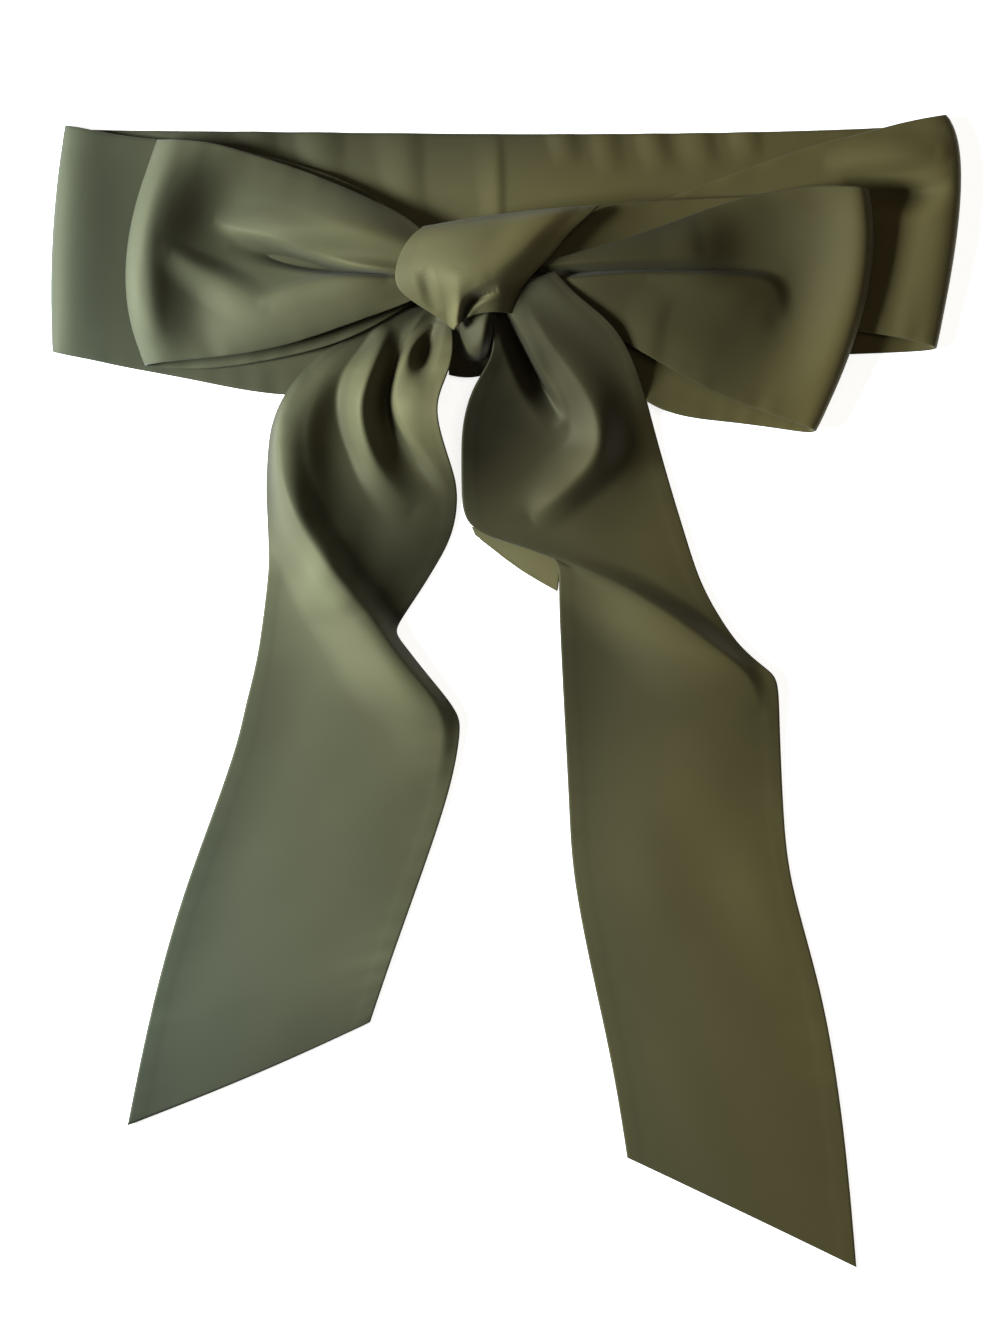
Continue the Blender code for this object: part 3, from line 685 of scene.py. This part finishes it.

# the shades keep most of the loop dark and lighten its tip: painted shade and painted light
RIGHT_LOOP_SECTIONS = (
    Section((17, 203), (17, 192), (17, 181), (13, 13, 13, 13, 13, 13, 13), 0.75),
    Section((42, 218.4), (40, 190), (36, 161), (11.6, 11, 10.4, 10, 9.6, 9, 8.4), (0.75, 0.6, 0.3)),
    Section((68, 221.2), (68, 178), (62, 129.6), (8.4, 7.6, 7, 6.6, 6.4, 6, 5.8), (0.75, 0.75, 0.6)),
    Section((105, 223.4), (106, 173), (98, 122.9), (5.8, 5, 4.8, 4.8, 4.8, 5, 5), 0.9),
    Section((142, 224.8), (144, 172), (126, 118.6), (5.8, 5.2, 5, 5, 5, 5, 5), (0.9, 1.05, 1.2)),
    Section((156, 225), (156.6, 176), (133.5, 117.6), (6.4, 6.4, 6.4, 6, 5.6, 5.4, 5.4), (0.8, 0.95, 1.15)),
    Section((161, 225.6), (160.4, 178), (137.6, 117.8), (10, 10.6, 10, 9.4, 8.6, 8, 7.2), (0.8, 0.9, 1.1)),
    Section((158, 226.6), (156.6, 178), (135.4, 119.2), (17, 17, 15.6, 14.2, 12.6, 11, 9.6),
            (0.76, 0.76, 0.85, 1, 1.1)),
    Section((149, 227.4), (148, 178), (129, 121.4), (15.4, 14.6, 13.4, 12.6, 12, 11.4, 10),
            (0.66, 0.62, 0.75, 1, 1.04)),
    Section((137, 227.6), (136.5, 177.2), (119.5, 124.6), (13.2, 10.6, 9.2, 8.6, 9, 10, 10.2),
            (0.59, 0.56, 0.62, 0.9, 0.98)),
    Section((125, 226), (125, 177), (111, 128), (11.6, 8.2, 7.2, 6.8, 8, 9.6, 10.4),
            (0.53, 0.47, 0.5, 0.7, 0.8)),
    Section((115, 224.6), (116, 177.4), (103.5, 130.6), (10.8, 7.6, 7, 10, 9.2, 9.8, 10.6),
            (0.5, 0.5, 0.65)),
    Section((104, 222), (104.5, 178.4), (94, 134.4), (10.6, 8.8, 8.6, 13.6, 11.2, 11, 11),
            (0.5, 0.49, 0.54)),
    Section((94, 219), (95, 179.4), (86.5, 138.2), (10.8, 11.6, 11.6, 15.4, 13.2, 12.4, 11.6),
            (0.44, 0.52)),
    Section((83, 215), (84, 180.6), (77, 143.4), (11.4, 15, 15.2, 16.8, 15, 13.8, 12), (0.28, 0.54)),
    Section((66, 208.6), (67, 182.2), (62, 152), (12.8, 16.4, 17, 17.4, 16.6, 15.2, 12.8),
            (0.24, 0.28, 0.38, 0.43, 0.48)),
    Section((45, 201.4), (45, 184), (43, 163), (15, 17.6, 18.2, 18.4, 17.8, 16.6, 14.4),
            (0.33, 0.36, 0.42)),
    Section((30, 197), (30, 186), (29, 171), (16.4, 18, 18.4, 18.4, 18, 17, 15), 0.4),
    Section((18, 193.4), (18, 187), (17, 177.6), (15.8, 16.8, 17, 17, 16.6, 16, 14), 0.45),
    Section((6, 190.6), (6, 187.4), (5.6, 183.4), (15, 15.4, 15.6, 15.6, 15.4, 15, 13.6), 0.4),
)

RIGHT_LOOP_PLEATS = (
    # the long crease, deep beside the knot, which ends in a small pit
    Pleat(1.3, (
        Station(10, 188, -4, 4, 3),
        Station(24, 188.2, -7, 4.5, 3.4),
        Station(40, 189, -5.5, 5, 2.6),
        Station(60, 189.8, -4.4, 6, 2),
        Station(82, 190, -4, 7, 2),
        Station(100, 190, -3, 8, 2.4),
        Station(115, 189.6, -1, 8, 3),
        Station(123, 188, 0, 7, 4),
    )),
    # the end of the fold below it
    Pleat(1.6, (
        Station(62, 186.5, 0, 2.5, 14),
        Station(84, 187, 1.5, 2.5, 16),
        Station(105, 186.8, 1.8, 3, 18),
        Station(117, 184, 1.6, 6, 20),
        Station(121, 177, 1.2, 7, 18),
        Station(121, 166, 0, 7, 14),
    )),
    # press marks across the loop
    Pleat(2, (
        Station(78, 214, 0, 8, 12),
        Station(79.5, 206, 0.6, 8, 14),
        Station(81, 197, 0.5, 8, 14),
        Station(83, 190, 0, 8, 12),
    )),
    Pleat(2, (
        Station(69, 181, 0, 8, 12),
        Station(65, 170, 0.7, 8, 14),
        Station(63, 158, 0.7, 8, 14),
        Station(61, 148, 0, 8, 12),
    )),
)

LOOP_RIPPLE = 0.25         # mm
LOOP_FRONT = 0.5           # only the sections that come back in front are pleated

loop_left, loop_left_length = add_ribbon(
    "loop_left_cloth", LEFT_LOOP_SECTIONS, LEFT_LOOP_PLEATS,
    cells=(90, 230), seed=11, ripple=LOOP_RIPPLE, pleated_from=LOOP_FRONT)
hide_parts("loop_left")
loop_right, loop_right_length = add_ribbon(
    "loop_right_cloth", RIGHT_LOOP_SECTIONS, RIGHT_LOOP_PLEATS,
    cells=(90, 250), seed=13, ripple=LOOP_RIPPLE, pleated_from=LOOP_FRONT)
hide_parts("loop_right")

# ---------------------------------------------------------------------------------------------
# The two tails, the ends of the same ribbon, each cut on a slant and sewn shut. They leave the knot
# in gathered pleats, roll across in one long fold and lie flat on the table. The right one runs
# over its loop, and a turned edge of it peeps out at its left.

# the shades darken its top beside the loop and the side beyond its long ridge, and lighten the ridge's lit
# side: painted shade and painted light
LEFT_TAIL_SECTIONS = (
    Section((-44, 173), (-34, 174), (-26, 171), (6.6, 6.8, 7, 7.2, 7.4, 7.6, 7.6), 0.15),
    Section((-76, 158), (-50, 159), (-24.6, 158), (4.8, 4.4, 3.8, 4.2, 6, 9, 11), (0.3, 0.6, 0.7)),
    Section((-92, 145), (-60, 145), (-26, 146), (4, 6.6, 3.4, 3.2, 4.6, 11, 15),
            (0.7, 1.1, 1.14, 1.13, 1.13)),
    Section((-102, 131), (-66.5, 131), (-31.4, 132), (3, 10.4, 3.6, 2.6, 3.4, 12.4, 18),
            (0.94, 1, 1.1, 1.2, 1.05)),
    Section((-106.6, 118), (-69, 117), (-30.4, 119), (2, 12.8, 4.4, 2.8, 2, 8, 15.6),
            (0.91, 1, 1.06, 1.25, 1.1)),
    Section((-108, 105), (-68, 104), (-26.6, 106), (1.2, 14.2, 5.2, 3.4, 2.2, 2.6, 8.2), (0.87, 0.88, 0.9)),
    Section((-108.6, 93), (-66, 92), (-23.2, 94), (1, 13.8, 6.4, 4.2, 3.2, 1.8, 1.8),
            (0.88, 0.75, 0.65, 0.55, 0.5)),
    Section((-108.2, 81), (-66, 80), (-23.4, 81), (0.8, 12, 8.4, 4.8, 4, 2.8, 1.2),
            (0.98, 0.75, 0.5, 0.45, 0.38)),
    Section((-107.8, 69), (-67, 68), (-26.6, 69), (0.8, 8.2, 11.4, 6, 4.6, 2.8, 0.8),
            (1.06, 1.05, 0.42, 0.34, 0.32)),
    Section((-107.8, 57), (-69, 55), (-32.4, 58), (0.8, 3.8, 11, 8.2, 5, 2.6, 0.8),
            (1.1, 1.4, 0.6, 0.28, 0.28)),
    Section((-109, 45), (-73, 43), (-40, 45.6), (0.8, 1.8, 6, 9.6, 5.6, 2.4, 0.8),
            (1.1, 1.5, 1.1, 0.42, 0.3)),
    Section((-110.2, 35), (-76, 34), (-47.4, 34.4), (0.8, 1, 2.8, 6.2, 7.2, 4, 1),
            (1.05, 1.4, 1.4, 0.85, 0.35)),
    Section((-111.2, 28), (-76, 28), (-50.2, 27.8), (0.8, 0.9, 2.2, 5, 7, 5.6, 1.8),
            (1, 1.25, 1.4, 1.1, 0.4)),
    Section((-112.4, 20), (-75, 21), (-46.2, 21.4), (0.9, 0.8, 1.8, 4.2, 6.6, 6.6, 3),
            (0.98, 1.15, 1.35, 1.1, 0.45)),
    Section((-114.8, 8), (-72, 9), (-36.4, 8.6), (1.4, 0.8, 1.4, 3, 5.8, 7.2, 3),
            (0.95, 1.05, 1.3, 1.25, 0.6)),
    Section((-118.6, -7), (-69, -6), (-24, -7), (2, 0.9, 1.4, 1.8, 3.2, 5.6, 3.6),
            (0.95, 1, 1.12, 1.15, 0.7)),
    Section((-122.6, -24), (-70, -20), (-22, -18), (2.4, 0.9, 1.2, 1.4, 1.8, 2.8, 2), (0.93, 1.08, 0.96)),
    Section((-133.6, -56), (-80, -50), (-26.6, -44), (2.6, 0.9, 1, 1.2, 1.4, 1.6, 1.2), (0.94, 1, 0.9)),
    Section((-147.2, -94), (-93, -87), (-39.6, -83), (2.6, 0.9, 0.8, 1, 1, 1, 0.9), (0.95, 0.98, 0.86)),
    Section((-160.4, -142), (-108, -128), (-52, -118), (2.4, 0.9, 0.8, 0.8, 0.9, 0.9, 0.8),
            (0.9, 0.92, 1.1)),
    Section((-171.2, -194), (-116, -172), (-62, -147.6), (1.6, 0.7, 0.6, 0.8, 0.9, 0.8, 0.6), 0.58),
)

LEFT_TAIL_PLEATS = (
    # the left edge rolls up and becomes the ridge that crosses to the right edge
    Pleat(1.4, (
        Station(-90, 146, 0, 8, 8),
        Station(-98, 133, 3, 10, 6),
        Station(-102, 120, 5.5, 11, 6),
        Station(-102.5, 106, 6.5, 12, 7),
        Station(-100.5, 94, 7, 13, 10),
        Station(-95.5, 82, 7.4, 13, 15),
        Station(-89.5, 71, 7.6, 13, 19),
        Station(-82.5, 60.5, 7.8, 13, 21),
        Station(-75.5, 50.5, 7.4, 12, 24),
        Station(-67.5, 41.5, 7, 12, 26),
        Station(-59.5, 32, 6.4, 10, 29),
        Station(-52, 20.5, 5.5, 10, 30),
        Station(-42, 8, 5, 8, 30),
        Station(-32.5, -5, 3.8, 8, 28),
        Station(-29, -20, 2, 7, 24),
        Station(-34, -44, 0, 8, 20),
    )),
    # the first pleat from the knot
    Pleat(1.6, (
        Station(-53, 166, 0, 6, 8),
        Station(-58, 154, 7, 9, 8),
        Station(-62.5, 142, 13.6, 11, 13),
        Station(-65.5, 131, 14.8, 12, 13),
        Station(-65, 120, 13, 13, 11),
        Station(-62, 109.5, 10, 14, 10),
        Station(-57, 100, 6, 13, 12),
        Station(-50, 91, 2.5, 14, 13),
        Station(-43, 82, 0, 14, 14),
    )),
    # the second pleat, with a steep side over the valley between them
    Pleat(1.5, (
        Station(-34, 166, 1, 8, 5),
        Station(-42, 157, 5, 12, 4),
        Station(-47.5, 147, 6.5, 18, 3.5),
        Station(-50.5, 135, 7, 22, 4),
        Station(-48.5, 125, 6.5, 22, 4),
        Station(-42.5, 115.5, 5, 16, 5),
        Station(-35.5, 106, 3, 10, 6),
        Station(-29.5, 97, 1, 8, 7),
        Station(-26, 90, 0, 8, 8),
    )),
    # the pit inside it
    Pleat(1.8, (
        Station(-33, 167, -3, 6, 7),
        Station(-36, 158, -7, 7, 9),
        Station(-38, 150, -7, 7, 8),
        Station(-39.5, 143.5, -2, 7, 7),
        Station(-41, 137, 0, 7, 7),
    )),
)

# the shades keep it dark from the knot down to its long fold, painted shade, and partly the duller back of
# the satin that shows above the fold
RIGHT_TAIL_SECTIONS = (
    Section((-5, 179), (6, 183.4), (21, 189), (14.6, 15.2, 16, 16.4, 17.4, 18.4, 18.4), 0.15),
    Section((-6.6, 166), (12, 172.6), (32, 177), (13, 14.2, 16.4, 17.4, 18.4, 19.8, 20), 0.2),
    Section((-7.4, 151), (24, 156), (48, 164), (13, 10.4, 15, 16, 16.4, 17.4, 18.8), (0.2, 0.19, 0.22)),
    Section((-15.4, 138), (26, 138), (58.6, 143), (12.6, 8.6, 6.6, 12, 12.6, 11.4, 11), (0.2, 0.28, 0.36)),
    Section((-20.2, 121), (25, 120), (64.4, 124), (12, 7.6, 5, 5.2, 9.6, 6.4, 2.4),
            (0.14, 0.2, 0.27, 0.4, 0.75)),
    Section((-20.8, 105), (26, 104), (69.2, 107), (12.6, 7.2, 5, 5.6, 9, 3.8, 1.4), (0.26, 0.46, 0.54)),
    Section((-20.6, 91), (28, 88), (74.4, 89), (11.6, 8.8, 8.2, 8.2, 5.6, 3, 1.4), (0.32, 0.55, 0.68)),
    Section((-18.6, 78), (33, 70.5), (80.6, 69), (9.8, 8.8, 8.2, 7.6, 5.6, 4, 1.8), (0.42, 0.58, 0.86)),
    Section((-8, 71), (42, 58), (87, 50), (8, 8, 7.2, 6.4, 5.4, 4.2, 2), (0.4, 0.42, 0.5, 0.65, 0.8)),
    Section((9, 66.4), (54, 47.5), (96.4, 33), (6.6, 6, 5.8, 5.4, 5, 4.4, 2.4),
            (0.45, 0.45, 0.42, 0.45, 0.6)),
    Section((21.6, 60), (63, 37.5), (105.4, 20.6), (6.4, 4.4, 4.4, 5.2, 5.4, 4.8, 3.4),
            (0.55, 0.66, 0.66, 0.5, 0.5)),
    Section((22.6, 46), (68, 25), (115.6, 11.6), (4.6, 2.8, 3, 4.4, 5.2, 5.2, 4.4),
            (0.6, 0.76, 0.74, 0.66, 0.6)),
    Section((23.6, 24), (72, 12), (121, 5), (2.8, 1.6, 2, 3.4, 4.2, 4.8, 3.6),
            (0.36, 0.5, 0.56, 0.6, 0.66)),
    Section((25, -4), (74, -9), (122.2, -14), (1.6, 0.9, 1.8, 2.4, 2.8, 2.6, 1.4),
            (0.4, 0.48, 0.55, 0.56, 0.56)),
    Section((27.4, -48), (76, -50), (124.2, -54), (0.9, 0.8, 1.4, 1.8, 1.6, 1, 0.6), (0.6, 0.8, 0.74)),
    Section((29.4, -80), (80, -84), (128.2, -88), (0.6, 1.4, 2.2, 1, 0.8, 1.6, 0.6), (0.68, 0.86, 0.84)),
    Section((36.6, -120), (89, -130), (141.4, -136), (0.6, 0.8, 1, 1.2, 1, 0.8, 0.6), (0.7, 0.8)),
    Section((46.6, -166), (98, -184), (151, -196), (0.6, 0.6, 0.8, 0.8, 0.9, 0.8, 0.6), 0.74),
    Section((53.6, -208.6), (105, -233), (156.8, -258), (0.6, 0.6, 0.6, 0.6, 0.6, 0.6, 0.6), 0.72),
)

RIGHT_TAIL_PLEATS = (
    # the deep crease below the knot, with a steep right side
    Pleat(1.5, (
        Station(-3.5, 174, -3, 3, 7),
        Station(2.6, 163, -7, 3, 8),
        Station(8.4, 152, -10, 3, 10),
        Station(14.2, 141, -9, 3.5, 11),
        Station(19.5, 132, -4.5, 4, 11),
        Station(24, 122, 0, 6, 8),
    )),
    # the ridge beside it, which hooks round below
    Pleat(1.4, (
        Station(8, 176, 0, 9, 4),
        Station(16, 162, 0.8, 14, 5),
        Station(24, 150, 1.8, 16, 7),
        Station(31.5, 140, 3.6, 18, 9),
        Station(37, 131, 4.8, 18, 12),
        Station(40.5, 121, 6, 16, 14),
        Station(40.5, 111, 6.6, 15, 15),
        Station(36, 102.5, 7, 14, 17),
        Station(28.5, 94.5, 6, 13, 18),
        Station(20, 86.5, 4, 12, 18),
        Station(10, 79, 0, 10, 16),
    )),
    # the soft fold that crosses from the left edge to the right corner
    Pleat(1.35, (
        Station(22, 58, 1, 7, 12),
        Station(35, 55, 2.5, 8, 22),
        Station(48, 50, 3.5, 9, 28),
        Station(61, 42.5, 4.6, 10, 32),
        Station(75, 33.5, 5, 10, 36),
        Station(89, 23.5, 5, 9, 38),
        Station(100, 15, 4, 8, 36),
        Station(109, 6, 2, 7, 30),
        Station(113, -8, 0, 7, 24),
    )),
)

# the turned edge of the right tail; its shades lighten it, a painted light
RIGHT_TURN_SECTIONS = (
    Section((-16.4, 75), (-15.6, 73.6), (-15, 71.8), (1, 1, 0.9, 0.8, 0.7), 1.1),
    Section((-1.4, 72.4), (-1.2, 66.4), (-0.4, 60.2), (2.4, 2.2, 1.8, 1.3, 0.8), 1.2),
    Section((10.6, 69.4), (11, 60.6), (11.2, 52.4), (3.2, 2.9, 2.4, 1.7, 0.9), 1.25),
    Section((24, 63.6), (23.4, 55), (22.2, 46.2), (3.4, 3.1, 2.6, 1.9, 1), 1.25),
)

tail_left, tail_left_length = add_ribbon(
    "tail_left_cloth", LEFT_TAIL_SECTIONS, LEFT_TAIL_PLEATS, cells=(90, 300), seed=17)
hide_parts("tail_left")
tail_right, tail_right_length = add_ribbon(
    "tail_right_cloth", RIGHT_TAIL_SECTIONS, RIGHT_TAIL_PLEATS, cells=(90, 340), seed=19)
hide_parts("tail_right")

tail_turn, tail_turn_length = add_ribbon(
    "tail_right_turn", RIGHT_TURN_SECTIONS, (), cells=(24, 60), seed=31, ripple=0.0)

# ---------------------------------------------------------------------------------------------
# The knot, where the ribbon wraps once round the gathered loops and pulls tight. Its wrap falls to
# a gathered point at the lower left, the wrap's end comes out below it between the tails, and the
# layers inside show in the gap. The tension of the wrap is all that holds the bow.

KNOT_RIPPLE = 0.1          # mm, as the wrap is pulled tight

# the shades lighten the wrap's right side and its gathered point: painted light
KNOT_SECTIONS = (
    Section((-38, 208.6), (-3, 214), (40.5, 218.2), (17, 18.6, 19.4, 20, 20.6, 19.8, 15.6), (1, 1.2)),
    Section((-43.5, 204), (-5, 210), (37.4, 215), (19, 22.4, 24.2, 25, 25.4, 23.4, 18.4), (1, 1.05, 1.45)),
    Section((-48, 197), (-8, 204), (28, 207), (19, 23.6, 26.6, 27.8, 27.8, 25, 19.4), (1, 1, 1.75)),
    Section((-50.2, 189), (-12, 195), (20, 197), (19, 24.2, 28.2, 30, 29.6, 26, 19.6), (1, 1.05, 1.8)),
    Section((-49, 181), (-15, 187.5), (11.5, 188.4), (18.6, 23.4, 28.2, 31, 30.4, 26, 19.2),
            (1, 1.1, 1.55)),
    Section((-40, 174), (-17, 181), (5.4, 181), (17.8, 21.6, 25.6, 28.6, 28.6, 24.6, 17.4), 1.15),
    Section((-31, 168.4), (-15.8, 175), (2.8, 175), (16, 19, 22.6, 23, 23.4, 21.4, 16.4), (1.45, 1.2, 1.1)),
    Section((-24, 163), (-14.6, 169.6), (1.4, 170.4), (13.8, 17.2, 19.8, 18.8, 20.2, 19.4, 15),
            (1.6, 1.3, 1.1)),
)

KNOT_PLEATS = (
    # the roll along the lower right side, and the fall beyond it
    Pleat(1.6, (
        Station(26, 218, 0.6, 7, 14),
        Station(18.5, 211, 1.2, 8, 18),
        Station(11.5, 204, 1.4, 8, 18),
        Station(6, 197.6, 1.4, 8, 16),
        Station(-1, 192, 1, 8, 13),
        Station(-8, 186, 0, 6, 11),
    )),
    # the ridge that runs down to the gathered point
    Pleat(1.5, (
        Station(-22, 190, 0, 9, 10),
        Station(-22, 182, 1.2, 8, 9),
        Station(-21.8, 175, 2.6, 4, 7),
        Station(-22.6, 168, 3.6, 3, 5),
        Station(-23.2, 162, 2.6, 3, 4),
    )),
    # the crease under the ridge's right side, above the lip
    Pleat(1.5, (
        Station(-4, 180.6, 0, 3, 5),
        Station(-10, 178.4, -3, 3.4, 5),
        Station(-15, 175.6, -5, 3, 4.6),
        Station(-18.4, 171.6, -5, 2.4, 3.6),
        Station(-20.4, 167, -3, 2.4, 3),
    )),
    # the dimple left of it
    Pleat(1.8, (
        Station(-38, 190, 0, 5, 5),
        Station(-36, 183, -1.6, 5, 5),
        Station(-34, 177, -1.2, 5, 5),
        Station(-31, 171, 0, 4, 4),
    )),
)

# the wrap's end, from under the knot down to its rounded tip
# its shades keep it dark under the knot: painted shade
STUB_SECTIONS = (
    Section((-19, 176), (-12, 178), (-4, 178), (11, 12, 12.6, 13, 13.2, 13, 12), 0.4),
    Section((-20, 171), (-13, 172.6), (-5, 173), (10.6, 13, 14.4, 15.4, 16.2, 16.4, 13), 0.55),
    Section((-21, 167), (-14, 167.4), (-6.4, 168), (9.4, 12.8, 14.6, 16, 17.2, 17.8, 12.6), (0.2, 0.32)),
    Section((-21.4, 162), (-14.4, 162), (-7.4, 162.6), (8, 12, 13.8, 15.4, 16.8, 17.2, 10.6), (0.2, 0.3)),
    Section((-21, 156.6), (-15, 156), (-8.6, 156.6), (6, 9.2, 11.4, 13.2, 14.4, 14.2, 8.4), (0.35, 0.4)),
    Section((-20, 152.4), (-15.4, 151.8), (-10, 152.4), (4.8, 6.4, 7.8, 8.8, 9.2, 8.6, 5.4), 0.45),
    Section((-18.6, 149.6), (-15.2, 149.2), (-11.6, 149.8), (3.8, 4, 4.2, 4.4, 4.4, 4, 3.8), 0.35),
)

# the layers inside, from the top of the knot down into the gap between the tails
# their shades keep them dark in the gap between the tails: painted shade
KNOT_INNER_SECTIONS = (
    Section((-30, 204), (-6, 207), (18, 208), (11, 14, 15, 14, 11), 0.3),
    Section((-38, 192), (-12, 195), (9, 196), (13, 19, 21.5, 19, 13), 0.3),
    Section((-36, 179), (-15, 182), (3, 182), (12, 17, 19, 17, 12), 0.3),
    Section((-28, 168), (-15, 170), (-1, 170), (8.6, 10.6, 11.4, 10.6, 8.6), 0.25),
    Section((-27, 155), (-16, 155), (-4.6, 156), (5, 5.6, 6, 5.6, 5), 0.2),
    Section((-26.6, 143.6), (-17, 142.4), (-8, 144.6), (2.6, 2.8, 3, 2.8, 2.6), 0.2),
)

knot_wrap, knot_length = add_ribbon(
    "knot_wrap_cloth", KNOT_SECTIONS, KNOT_PLEATS, cells=(90, 90), seed=23, ripple=KNOT_RIPPLE)
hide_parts("knot_wrap")
knot_stub, stub_length = add_ribbon(
    "knot_stub_cloth", STUB_SECTIONS, (), cells=(30, 40), seed=29, ripple=0.0)
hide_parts("knot_stub")
knot_inner, inner_length = add_ribbon(
    "knot_inner_cloth", KNOT_INNER_SECTIONS, (), cells=(24, 40), seed=37, ripple=0.0)
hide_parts("knot_core")
